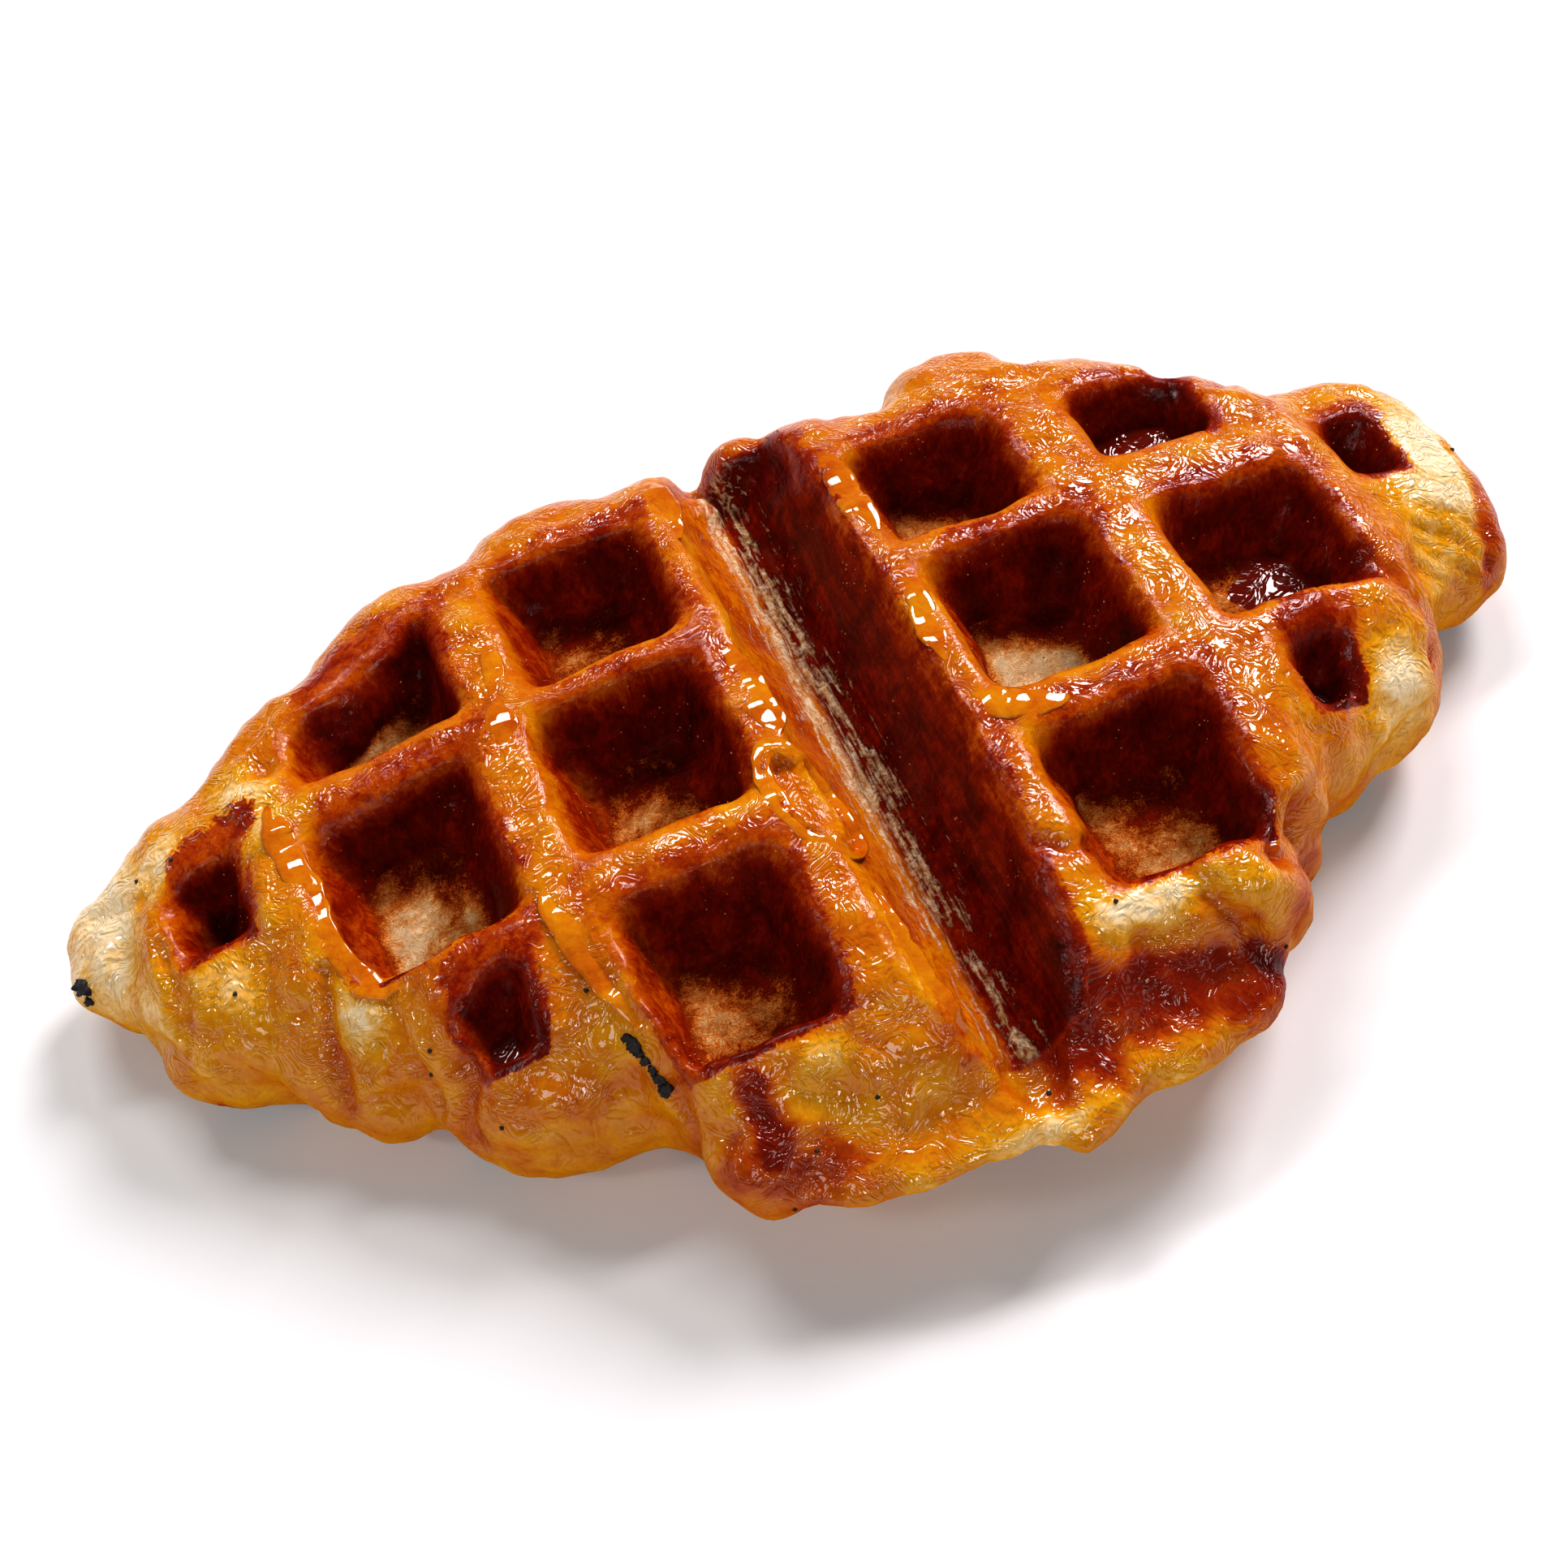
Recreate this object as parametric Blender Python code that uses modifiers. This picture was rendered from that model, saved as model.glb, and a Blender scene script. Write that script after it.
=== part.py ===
"""A croffle: croissant dough pressed and baked between two waffle plates.

One solid, in metres, +Z up. X runs along the crescent, Y away from its near side, and the
part rests on its lower ribs at Z = 0. The rolled dough is a row of overlapping rolls. Two
plates flatten it, and the pegs and the long bar of each plate press wells and a groove in it.
"""
import math

import bmesh
import bpy
from mathutils import Vector, geometry, noise

NAME = "croffle"
PITCH = 0.023               # from one well to the next, the same both ways
THICKNESS = 0.0250          # between the two plates
CENTRE_U = -0.089           # middle of the whole part, in pitches from the groove's own middle
CENTRE_V = 0.3008

# The plates: pegs that taper towards their tips, and a bar in place of the middle row of pegs.
FIRST_PEG = 0.925           # groove middle to the first row of pegs beside it, in pitches
ROW_SHIFT = 0.45            # rows of pegs lie at whole pitches across plus this
WELL_WIDTH = 0.78           # of a well at the rib crowns, in pitches
WELL_DEPTH = 0.45
PEG_DRAFT = math.radians(20)
GROOVE_WIDTH = 0.70
GROOVE_DEPTH = 0.50
UNDER_GROOVE_DEPTH = 0.34
BAR_DRAFT = math.radians(28)
BAR_LENGTH = 6.0            # past both sides of the dough
PLATE_MARGIN = 0.25         # how far a peg's root stands above the crowns
TIP_LEAST = 0.05            # half width of the bluntest peg tip

# Wells of the shown face, each as the dough closed round its peg, in pitches: middle along
# and across, opening along and across, depth, and how far the far left corner is drawn in.
SHOWN_WELLS = {
    "left_1_far": (-0.87, 1.37, 0.78, 0.76, 0.45, 0.0),
    "left_1_mid": (-0.92, 0.45, 0.80, 0.82, 0.45, 0.0),
    "left_1_near": (-0.94, -0.59, 0.76, 0.80, 0.45, 0.0),
    "left_2_far": (-1.92, 1.35, 0.80, 0.68, 0.42, 0.34),
    "left_2_mid": (-1.97, 0.40, 0.78, 0.88, 0.45, 0.08),
    "left_2_near": (-1.86, -0.37, 0.42, 0.48, 0.42, 0.12),
    "left_3_mid": (-2.82, 0.70, 0.38, 0.52, 0.46, 0.12),
    "right_1_far": (0.86, 1.34, 0.74, 0.68, 0.45, 0.0),
    "right_1_mid": (0.91, 0.45, 0.78, 0.80, 0.45, 0.0),
    "right_1_near": (0.92, -0.57, 0.80, 0.80, 0.45, 0.0),
    "right_1_edge": (0.93, -1.55, 0.74, 0.80, 0.45, 0.0),
    "right_2_far": (1.86, 1.32, 0.64, 0.50, 0.34, 0.0),
    "right_2_mid": (1.97, 0.38, 0.80, 0.74, 0.45, 0.0),
    "right_2_near": (1.88, -0.31, 0.36, 0.42, 0.40, 0.06),
    "right_3_mid": (2.75, 0.81, 0.32, 0.48, 0.46, 0.0),
}

# Wells of the hidden face, the same on both sides of the groove: by column and row of pegs,
# the share of a full well, and how far its middle lies in from the peg's, in pitches.
UNDER_WELLS = {
    (0, -1): (1.00, 0.00),
    (0, 0): (1.00, 0.00),
    (0, 1): (0.92, 0.04),
    (1, -1): (0.62, 0.20),
    (1, 0): (0.98, 0.00),
    (1, 1): (0.74, 0.14),
    (2, 0): (0.55, -0.18),
}

# Rolls of dough, in pitches: middle (along, across, up from mid height), half sizes, and
# how far the top leans away from the near side for each pitch of height.
ROLLS = {
    "middle": ((0.00, 0.38, 0.00), (1.35, 1.80, 0.95), 0.30),
    "middle_left": ((-0.90, 0.50, 0.00), (0.62, 1.72, 0.95), 0.25),
    "middle_right": ((1.22, 0.55, 0.00), (0.52, 1.73, 0.95), 0.25),
    "left_1": ((-1.50, 0.58, 0.00), (0.86, 1.36, 0.88), 0.49),
    "left_2": ((-2.12, 0.66, -0.02), (0.72, 0.98, 0.82), 0.42),
    "left_3": ((-2.70, 0.72, -0.05), (0.58, 0.69, 0.65), 0.25),
    "left_tip": ((-3.11, 0.91, -0.08), (0.42, 0.34, 0.40), 0.20),
    "right_1": ((1.52, 0.68, 0.00), (0.80, 1.40, 0.88), 0.15),
    "right_2": ((2.08, 0.56, -0.02), (0.61, 1.08, 0.82), 0.25),
    "right_tip": ((2.79, 0.75, -0.06), (0.56, 0.72, 0.53), 0.20),
    "right_lip": ((0.98, -0.88, 0.10), (0.42, 0.38, 0.42), 0.00),
    "seam": ((-0.20, -0.84, -0.02), (1.15, 0.76, 0.18), 0.00),
    "seam_right": ((0.57, -1.10, -0.02), (0.62, 0.49, 0.18), 0.00),
    "seam_bump": ((0.14, -1.46, -0.02), (0.22, 0.24, 0.15), 0.00),
    "seam_end": ((-1.00, -1.14, -0.08), (0.30, 0.28, 0.30), 0.00),
}
# Dough that crept out round the far end of the bar, in the same terms.
SPILLS = {
    "far_nub": ((0.16, 2.14, 0.12), (0.22, 0.13, 0.24), 0.00),
    "far_drop": ((-0.17, 1.98, 0.06), (0.11, 0.10, 0.14), 0.00),
}
ROLL_SEGMENTS = 48
ROLL_RINGS = 28
ROLL_SQUARENESS = 2.9       # seen from above: 2 is an ellipse, more is boxier
PRESS_SHARPNESS = 7         # how abruptly the plates stop the dough

DOME_ALONG = 0.037          # the upper face sags by this times the square of the pitches along
DOME_ACROSS = 0.030
DOME_START = 0.4            # pitches along

# Creases where rolls or layers of dough meet: half width and depth in millimetres, then places
# along, across and above the foot, in pitches.
CREASES = {
    "left_1": (0.9, 1.3, [(-2.42, 0.12, 0.84), (-2.47, 0.02, 0.76), (-2.52, -0.08, 0.65),
                          (-2.53, -0.25, 0.40)]),
    "left_3": (1.4, 1.6, [(-2.02, -0.44, 0.70), (-2.07, -0.52, 0.58), (-2.13, -0.60, 0.38)]),
    "near_1": (1.2, 0.9, [(-1.33, -0.88, 0.75), (-1.28, -1.00, 0.60), (-1.30, -1.06, 0.40)]),
    "right_tip": (1.6, 1.4, [(2.33, 0.16, 0.92), (2.37, 0.04, 0.86), (2.48, -0.13, 0.70),
                             (2.47, -0.28, 0.58)]),
    "right_flap": (1.6, 1.7, [(1.28, -0.92, 0.94), (1.24, -1.04, 0.88), (1.34, -1.02, 0.70),
                              (1.42, -0.98, 0.50)]),
    "right_notch": (2.8, 3.6, [(1.47, -0.93, 0.82), (1.47, -0.99, 0.50), (1.45, -1.00, 0.20)]),
    "lobe_edge": (0.9, 0.9, [(0.84, -0.98, 0.95), (0.88, -1.04, 0.93), (0.94, -1.18, 0.83),
                             (1.06, -1.27, 0.64)]),
    "crown_fold": (0.9, 1.0, [(0.36, -0.66, 1.03), (0.43, -0.74, 1.03), (0.52, -0.74, 0.99),
                              (0.58, -0.70, 0.92)]),
    "far_1": (1.5, 1.3, [(-2.42, 1.20, 0.86), (-2.40, 1.32, 0.66), (-2.38, 1.36, 0.40)]),
    "far_2": (1.5, 1.2, [(-1.85, 1.74, 0.84), (-1.80, 1.84, 0.60), (-1.78, 1.86, 0.36)]),
    "far_3": (1.5, 1.2, [(1.58, 1.98, 0.84), (1.62, 2.02, 0.60), (1.60, 2.00, 0.36)]),
    "far_4": (1.6, 1.5, [(2.34, 1.40, 0.86), (2.38, 1.48, 0.62), (2.36, 1.48, 0.36)]),
    "bubble": (2.0, 1.5, [(-0.42, 0.06, 1.06), (-0.36, -0.20, 1.03)]),
}
BUMP_SIZE = 0.0075          # of the uneven baked surface
BUMP_HEIGHT = 0.0003
CORE_VOXEL = 0.0012
SKIN_VOXEL = 0.0009
SMOOTH_PASSES = 8
CROWN_PASSES = 12           # more easing on the rib crowns, which bake round
CROWN_START = 0.60          # of the height from mid height to the plate
CROWN_FULL = 0.90
TRIANGLES = 11500
MILLIMETRES = 1000.0        # in a metre
FOOT = 0.00020              # trimmed off the lowest ribs for a flat foot
ON_CUT = 0.000001           # how near the cut a corner counts as lying on it

CRUST_COLOUR = (0.56, 0.24, 0.05, 1)
CRUST_ROUGHNESS = 0.35


def clear_scene():
    for thing in list(bpy.data.objects):
        bpy.data.objects.remove(thing, do_unlink=True)


def add_collection(name):
    collection = bpy.data.collections.new(name)
    bpy.context.scene.collection.children.link(collection)
    return collection


def place(u, v, up=0.0):
    """Part coordinates of a point in pitches from the plates' own middle, at mid height."""
    return Vector((u - CENTRE_U, v - CENTRE_V, up)) * PITCH + Vector((0, 0, THICKNESS / 2))


def add_object(name, builder, collection):
    mesh = bpy.data.meshes.new(name)
    builder.to_mesh(mesh)
    builder.free()
    thing = bpy.data.objects.new(name, mesh)
    collection.objects.link(thing)
    return thing


def add_roll(name, middle, half, lean, collection):
    """One roll of dough: a sphere made boxy seen from above, drawn out and leant over."""
    builder = bmesh.new()
    bmesh.ops.create_uvsphere(builder, u_segments=ROLL_SEGMENTS, v_segments=ROLL_RINGS,
                              radius=1.0)
    power = ROLL_SQUARENESS
    for vert in builder.verts:
        x, y, z = vert.co
        boxy = (abs(x) ** power + abs(y) ** power) ** (1 / power)
        swell = math.hypot(x, y) / boxy if boxy > 0 else 1.0
        rise = middle[2] + z * half[2]
        u = middle[0] + x * swell * half[0]
        v = middle[1] + y * swell * half[1] + lean * z * half[2]
        vert.co = place(u, v, rise)
    return add_object(name, builder, collection)


def press(up):
    """Height of dough under a plate: it stops at the plate, with a round shoulder."""
    half = THICKNESS / 2
    rise = (up - half) / half
    return half + half * rise / (1 + abs(rise) ** PRESS_SHARPNESS) ** (1 / PRESS_SHARPNESS)


def add_peg(name, well, is_top, collection):
    """One peg or bar of a plate: a cube drawn into a block that tapers to its tip."""
    u, v, width, length, depth, drawn_in, draft = well
    crown = THICKNESS / 2 / PITCH
    side = 1 if is_top else -1
    builder = bmesh.new()
    bmesh.ops.create_cube(builder, size=2.0)
    for vert in builder.verts:
        x, y, z = vert.co
        above = PLATE_MARGIN if z > 0 else -depth
        spread = above * math.tan(draft)
        half_u = max(width / 2 + spread, TIP_LEAST)
        half_v = max(length / 2 + spread, TIP_LEAST)
        pull = drawn_in if x < 0 < y else 0.0
        vert.co = place(u + x * half_u, v + y * half_v - pull, side * (crown + above))
    if not is_top:
        bmesh.ops.reverse_faces(builder, faces=builder.faces)
    return add_object(name, builder, collection)


def add_plate(is_top, collection):
    """The pegs of one plate and the bar between them."""
    if is_top:
        for name, well in SHOWN_WELLS.items():
            add_peg(name, (*well, PEG_DRAFT), is_top, collection)
    else:
        for (column, row), (fill, inward) in UNDER_WELLS.items():
            width = WELL_WIDTH * fill
            v = row + ROW_SHIFT - math.copysign(inward, row + ROW_SHIFT)
            for hand in (-1, 1):
                well = (hand * (column + FIRST_PEG), v, width, width, WELL_DEPTH, 0.0, PEG_DRAFT)
                add_peg("under_peg", well, is_top, collection)
    depth = GROOVE_DEPTH if is_top else UNDER_GROOVE_DEPTH
    bar = (0.0, CENTRE_V, GROOVE_WIDTH, BAR_LENGTH, depth, 0.0, BAR_DRAFT)
    add_peg("bar", bar, is_top, collection)


def apply_modifiers(thing):
    """Replace an object's mesh by its evaluated mesh."""
    graph = bpy.context.evaluated_depsgraph_get()
    mesh = bpy.data.meshes.new_from_object(thing.evaluated_get(graph))
    thing.modifiers.clear()
    thing.data = mesh


def remesh(thing, voxel):
    """One even skin over whatever closed shapes the mesh holds, with its edges eased."""
    skin = thing.modifiers.new("skin", "REMESH")
    skin.mode = "VOXEL"
    skin.voxel_size = voxel
    ease = thing.modifiers.new("ease", "SMOOTH")
    ease.iterations = SMOOTH_PASSES
    apply_modifiers(thing)


def join(collection, name):
    """One mesh object from all the objects of a collection, which are removed."""
    builder = bmesh.new()
    for thing in list(collection.objects):
        builder.from_mesh(thing.data)
        bpy.data.objects.remove(thing, do_unlink=True)
    return add_object(name, builder, collection)


def cut(thing, collection):
    """Take every solid of a collection out of the object."""
    for cutter in collection.objects:
        cutter.hide_render = True
        cutter.display_type = "WIRE"
    modifier = thing.modifiers.new("cut", "BOOLEAN")
    modifier.operation = "DIFFERENCE"
    modifier.operand_type = "COLLECTION"
    modifier.collection = collection
    apply_modifiers(thing)


def sag(point):
    """How far the upper face has sunk over a point, less towards the foot."""
    u = point.x / PITCH + CENTRE_U
    v = point.y / PITCH + CENTRE_V
    drop = DOME_ALONG * max(0.0, abs(u) - DOME_START) ** 2 + DOME_ACROSS * v * v
    return drop * PITCH * point.z / THICKNESS


def round_crowns(thing):
    """Ease the ribs near both plates, so that their crowns come out round."""
    group = thing.vertex_groups.new(name="crowns")
    for vert in thing.data.vertices:
        high = abs(2 * vert.co.z / (THICKNESS - sag(vert.co)) - 1)
        share = (high - CROWN_START) / (CROWN_FULL - CROWN_START)
        group.add([vert.index], min(1.0, max(0.0, share)), "REPLACE")
    ease = thing.modifiers.new("round", "SMOOTH")
    ease.vertex_group = group.name
    ease.iterations = CROWN_PASSES
    apply_modifiers(thing)


def crease_routes():
    """Half width and depth in metres of every crease, and its places in part coordinates."""
    for width, depth, route in CREASES.values():
        places = [Vector((u - CENTRE_U, v - CENTRE_V, up)) * PITCH for u, v, up in route]
        yield width / MILLIMETRES, depth / MILLIMETRES, places


def distance_to_route(point, route):
    nearest = math.inf
    for start, end in zip(route, route[1:]):
        share = geometry.intersect_point_line(point, start, end)[1]
        on_route = start.lerp(end, min(1.0, max(0.0, share)))
        nearest = min(nearest, (point - on_route).length)
    return nearest


def roughen(thing):
    """Low bumps of a baked crust, and its creases."""
    creases = list(crease_routes())
    normals = [vert.normal.copy() for vert in thing.data.vertices]
    for vert, normal in zip(thing.data.vertices, normals):
        lift = noise.noise(vert.co / BUMP_SIZE) * BUMP_HEIGHT
        for width, depth, route in creases:
            lift -= depth * math.exp(-(distance_to_route(vert.co, route) / width) ** 2)
        vert.co += normal * lift


def reduce(thing, triangles):
    """Fewer triangles, kept where the form turns."""
    thing.data.calc_loop_triangles()
    modifier = thing.modifiers.new("reduce", "DECIMATE")
    modifier.ratio = triangles / len(thing.data.loop_triangles)
    apply_modifiers(thing)


def flatten_foot(thing):
    """Cut the lowest ribs level and stand the part on them at zero height."""
    builder = bmesh.new()
    builder.from_mesh(thing.data)
    lowest = min(vert.co.z for vert in builder.verts)
    level = lowest + FOOT
    elements = builder.verts[:] + builder.edges[:] + builder.faces[:]
    bmesh.ops.bisect_plane(builder, geom=elements, dist=ON_CUT, plane_co=(0, 0, level),
                           plane_no=(0, 0, -1), clear_outer=True)
    rims = [edge for edge in builder.edges if edge.is_boundary]
    bmesh.ops.triangle_fill(builder, use_beauty=True, edges=rims)
    bmesh.ops.translate(builder, vec=(0, 0, -level), verts=builder.verts)
    bmesh.ops.triangulate(builder, faces=builder.faces)
    bmesh.ops.recalc_face_normals(builder, faces=builder.faces)
    builder.to_mesh(thing.data)
    builder.free()


def crust_material():
    material = bpy.data.materials.new("baked crust")
    material.use_nodes = True
    shader = material.node_tree.nodes["Principled BSDF"]
    shader.inputs["Base Color"].default_value = CRUST_COLOUR
    shader.inputs["Roughness"].default_value = CRUST_ROUGHNESS
    return material


def build():
    clear_scene()
    home = add_collection(NAME)
    plates = add_collection("plates")
    for name, (middle, half, lean) in ROLLS.items():
        add_roll(name, middle, half, lean, home)
    dough = join(home, NAME)
    remesh(dough, CORE_VOXEL)
    for vert in dough.data.vertices:
        vert.co.z = press(vert.co.z)
    add_plate(True, plates)
    add_plate(False, plates)
    cut(dough, plates)
    for name, (middle, half, lean) in SPILLS.items():
        add_roll(name, middle, half, lean, home)
    dough = join(home, NAME)
    for vert in dough.data.vertices:
        vert.co.z -= sag(vert.co)
    remesh(dough, SKIN_VOXEL)
    round_crowns(dough)
    roughen(dough)
    reduce(dough, TRIANGLES)
    flatten_foot(dough)
    dough.data.materials.append(crust_material())
    dough.data.shade_smooth()


build()
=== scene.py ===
import math

import bmesh
import bpy
import numpy as np
from mathutils import Matrix, Vector, noise
from mathutils.bvhtree import BVHTree


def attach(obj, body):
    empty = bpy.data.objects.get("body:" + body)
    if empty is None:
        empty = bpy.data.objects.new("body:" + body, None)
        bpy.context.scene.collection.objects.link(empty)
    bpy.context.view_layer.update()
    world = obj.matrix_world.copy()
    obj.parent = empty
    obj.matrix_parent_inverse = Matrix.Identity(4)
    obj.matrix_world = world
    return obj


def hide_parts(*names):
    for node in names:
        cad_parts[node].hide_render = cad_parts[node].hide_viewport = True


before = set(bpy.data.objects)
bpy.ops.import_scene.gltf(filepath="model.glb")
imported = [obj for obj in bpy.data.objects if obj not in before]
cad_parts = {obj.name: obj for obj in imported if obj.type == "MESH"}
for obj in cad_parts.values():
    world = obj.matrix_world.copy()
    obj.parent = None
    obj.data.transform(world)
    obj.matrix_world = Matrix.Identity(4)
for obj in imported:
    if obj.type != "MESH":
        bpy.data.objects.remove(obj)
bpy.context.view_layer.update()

# THE ROLLED DOUGH. One raw croissant: a long triangle of layered butter dough rolled up from
# its wide end, so it is a row of overlapping rolls that shrink towards both tips. It is laid
# across the lower plate, and the closing iron flattens it.
PITCH = 0.023  # from one well of the waffle plates to the next
THICKNESS = 0.0250  # between the closed plates
CENTRE_U = -0.089  # middle of the croffle, in pitches from the groove's own middle
CENTRE_V = 0.3008
ROLLS = {  # middle (along, across, up from mid height), half sizes, lean; all in pitches
    "middle": ((0.00, 0.38, 0.00), (1.35, 1.80, 0.95), 0.30),
    "middle_left": ((-0.90, 0.50, 0.00), (0.62, 1.72, 0.95), 0.25),
    "middle_right": ((1.22, 0.55, 0.00), (0.52, 1.73, 0.95), 0.25),
    "left_1": ((-1.50, 0.58, 0.00), (0.86, 1.36, 0.88), 0.49),
    "left_2": ((-2.12, 0.66, -0.02), (0.72, 0.98, 0.82), 0.42),
    "left_3": ((-2.70, 0.72, -0.05), (0.58, 0.69, 0.65), 0.25),
    "left_tip": ((-3.11, 0.91, -0.08), (0.42, 0.34, 0.40), 0.20),
    "right_1": ((1.52, 0.68, 0.00), (0.80, 1.40, 0.88), 0.15),
    "right_2": ((2.08, 0.56, -0.02), (0.61, 1.08, 0.82), 0.25),
    "right_tip": ((2.79, 0.75, -0.06), (0.56, 0.72, 0.53), 0.20),
    "right_lip": ((0.98, -0.88, 0.10), (0.42, 0.38, 0.42), 0.00),
    "seam": ((-0.20, -0.84, -0.02), (1.15, 0.76, 0.18), 0.00),
    "seam_right": ((0.57, -1.10, -0.02), (0.62, 0.49, 0.18), 0.00),
    "seam_bump": ((0.14, -1.46, -0.02), (0.22, 0.24, 0.15), 0.00),
    "seam_end": ((-1.00, -1.14, -0.08), (0.30, 0.28, 0.30), 0.00),
}
SPILLS = {  # dough that crept out round the far end of the plates' bar
    "far_nub": ((0.16, 2.14, 0.12), (0.22, 0.13, 0.24), 0.00),
    "far_drop": ((-0.17, 1.98, 0.06), (0.11, 0.10, 0.14), 0.00),
}
ROLL_SQUARENESS = 2.9
ROLL_SEGMENTS = 48
ROLL_RINGS = 28
PRESS_SHARPNESS = 7
CORE_VOXEL = 0.0012
EASE_PASSES = 8


def place(u, v, up=0.0):
    """A point given in pitches from the plates' own middle, at mid height."""
    return Vector((u - CENTRE_U, v - CENTRE_V, up)) * PITCH + Vector((0, 0, THICKNESS / 2))


def new_piece(name, builder):
    mesh = bpy.data.meshes.new(name)
    builder.to_mesh(mesh)
    builder.free()
    piece = bpy.data.objects.new(name, mesh)
    bpy.context.scene.collection.objects.link(piece)
    return piece


def add_roll(builder, middle, half, lean):
    """One roll of dough: a ball made boxy seen from above, drawn out and leant over."""
    ball = bmesh.ops.create_uvsphere(builder, u_segments=ROLL_SEGMENTS, v_segments=ROLL_RINGS, radius=1.0)
    for vert in ball["verts"]:
        x, y, z = vert.co
        boxy = (abs(x) ** ROLL_SQUARENESS + abs(y) ** ROLL_SQUARENESS) ** (1 / ROLL_SQUARENESS)
        swell = math.hypot(x, y) / boxy if boxy > 0 else 1.0
        along = middle[0] + x * swell * half[0]
        across = middle[1] + y * swell * half[1] + lean * z * half[2]
        vert.co = place(along, across, middle[2] + z * half[2])


def roll_dough(name, rolls):
    builder = bmesh.new()
    for middle, half, lean in rolls.values():
        add_roll(builder, middle, half, lean)
    return new_piece(name, builder)


def plain_mesh(piece):
    """Replace a piece's mesh by its evaluated one and drop its modifiers."""
    graph = bpy.context.evaluated_depsgraph_get()
    mesh = bpy.data.meshes.new_from_object(piece.evaluated_get(graph))
    piece.modifiers.clear()
    piece.data = mesh


def skin_over(piece, voxel, passes):
    """One even skin over the closed shapes of a piece, its edges eased."""
    skin = piece.modifiers.new("skin", "REMESH")
    skin.mode = "VOXEL"
    skin.voxel_size = voxel
    ease = piece.modifiers.new("ease", "SMOOTH")
    ease.iterations = passes
    plain_mesh(piece)


def read(piece, kind="co"):
    values = np.empty(len(piece.data.vertices) * 3, np.float32)
    piece.data.vertices.foreach_get(kind, values)
    return values.reshape(-1, 3).astype(float)


def write(piece, points):
    piece.data.vertices.foreach_set("co", points.astype(np.float32).ravel())
    piece.data.update()


def press_flat(points):
    """The closed plates stop the dough, which keeps a round shoulder."""
    half = THICKNESS / 2
    rise = (points[:, 2] - half) / half
    points[:, 2] = half + half * rise / (1 + abs(rise) ** PRESS_SHARPNESS) ** (1 / PRESS_SHARPNESS)
    return points


crust = roll_dough("crust", ROLLS)
skin_over(crust, CORE_VOXEL, EASE_PASSES)
write(crust, press_flat(read(crust)))

# THE WAFFLE PLATES' MARKS. Each cast plate has rows of square pegs that taper to their tips,
# and one long bar in place of the middle row. They bake the wells and the groove of both
# faces, and the dough closes unevenly round the pegs near its edge.
SHOWN_WELLS = {  # middle along and across, opening along and across, depth, far left corner drawn in
    "left_1_far": (-0.87, 1.37, 0.78, 0.76, 0.45, 0.0),
    "left_1_mid": (-0.92, 0.45, 0.80, 0.82, 0.45, 0.0),
    "left_1_near": (-0.94, -0.59, 0.76, 0.80, 0.45, 0.0),
    "left_2_far": (-1.92, 1.35, 0.80, 0.68, 0.42, 0.34),
    "left_2_mid": (-1.97, 0.40, 0.78, 0.88, 0.45, 0.08),
    "left_2_near": (-1.86, -0.37, 0.42, 0.48, 0.42, 0.12),
    "left_3_mid": (-2.82, 0.70, 0.38, 0.52, 0.46, 0.12),
    "right_1_far": (0.86, 1.34, 0.74, 0.68, 0.45, 0.0),
    "right_1_mid": (0.91, 0.45, 0.78, 0.80, 0.45, 0.0),
    "right_1_near": (0.92, -0.57, 0.80, 0.80, 0.45, 0.0),
    "right_1_edge": (0.93, -1.55, 0.74, 0.80, 0.45, 0.0),
    "right_2_far": (1.86, 1.32, 0.64, 0.50, 0.34, 0.0),
    "right_2_mid": (1.97, 0.38, 0.80, 0.74, 0.45, 0.0),
    "right_2_near": (1.88, -0.31, 0.36, 0.42, 0.40, 0.06),
    "right_3_mid": (2.75, 0.81, 0.32, 0.48, 0.46, 0.0),
}
UNDER_WELLS = {  # by column and row of pegs: share of a full well, and shift inwards
    (0, -1): (1.00, 0.00),
    (0, 0): (1.00, 0.00),
    (0, 1): (0.92, 0.04),
    (1, -1): (0.62, 0.20),
    (1, 0): (0.98, 0.00),
    (1, 1): (0.74, 0.14),
    (2, 0): (0.55, -0.18),
}
FIRST_PEG = 0.925  # from the bar's middle to the first column's, all in pitches
ROW_SHIFT = 0.45  # the rows of pegs stand off the plate's middle
WELL_WIDTH = 0.78
WELL_DEPTH = 0.45
PEG_DRAFT = math.tan(math.radians(20))
BAR_DRAFT = math.tan(math.radians(28))
GROOVE_WIDTH = 0.70
GROOVE_DEPTH = 0.50
UNDER_GROOVE_DEPTH = 0.34
BAR_LENGTH = 6.0  # past both sides of the dough
PEG_ROOT = 0.25  # how far a peg's root stands above the rib crowns
TIP_LEAST = 0.05  # a shallow peg's half width at its tip is never less


def under_wells():
    """The lower plate's wells, the same on both sides of its bar."""
    for (column, row), (fill, inward) in UNDER_WELLS.items():
        width = WELL_WIDTH * fill
        across = row + ROW_SHIFT
        across -= math.copysign(inward, across)
        for hand in (-1, 1):
            yield (hand * (column + FIRST_PEG), across, width, width, WELL_DEPTH, 0.0)


PEGS = [(*well, PEG_DRAFT, 1) for well in SHOWN_WELLS.values()]
PEGS += [(*well, PEG_DRAFT, -1) for well in under_wells()]
PEGS += [(0.0, CENTRE_V, GROOVE_WIDTH, BAR_LENGTH, GROOVE_DEPTH, 0.0, BAR_DRAFT, 1),
         (0.0, CENTRE_V, GROOVE_WIDTH, BAR_LENGTH, UNDER_GROOVE_DEPTH, 0.0, BAR_DRAFT, -1)]


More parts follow.
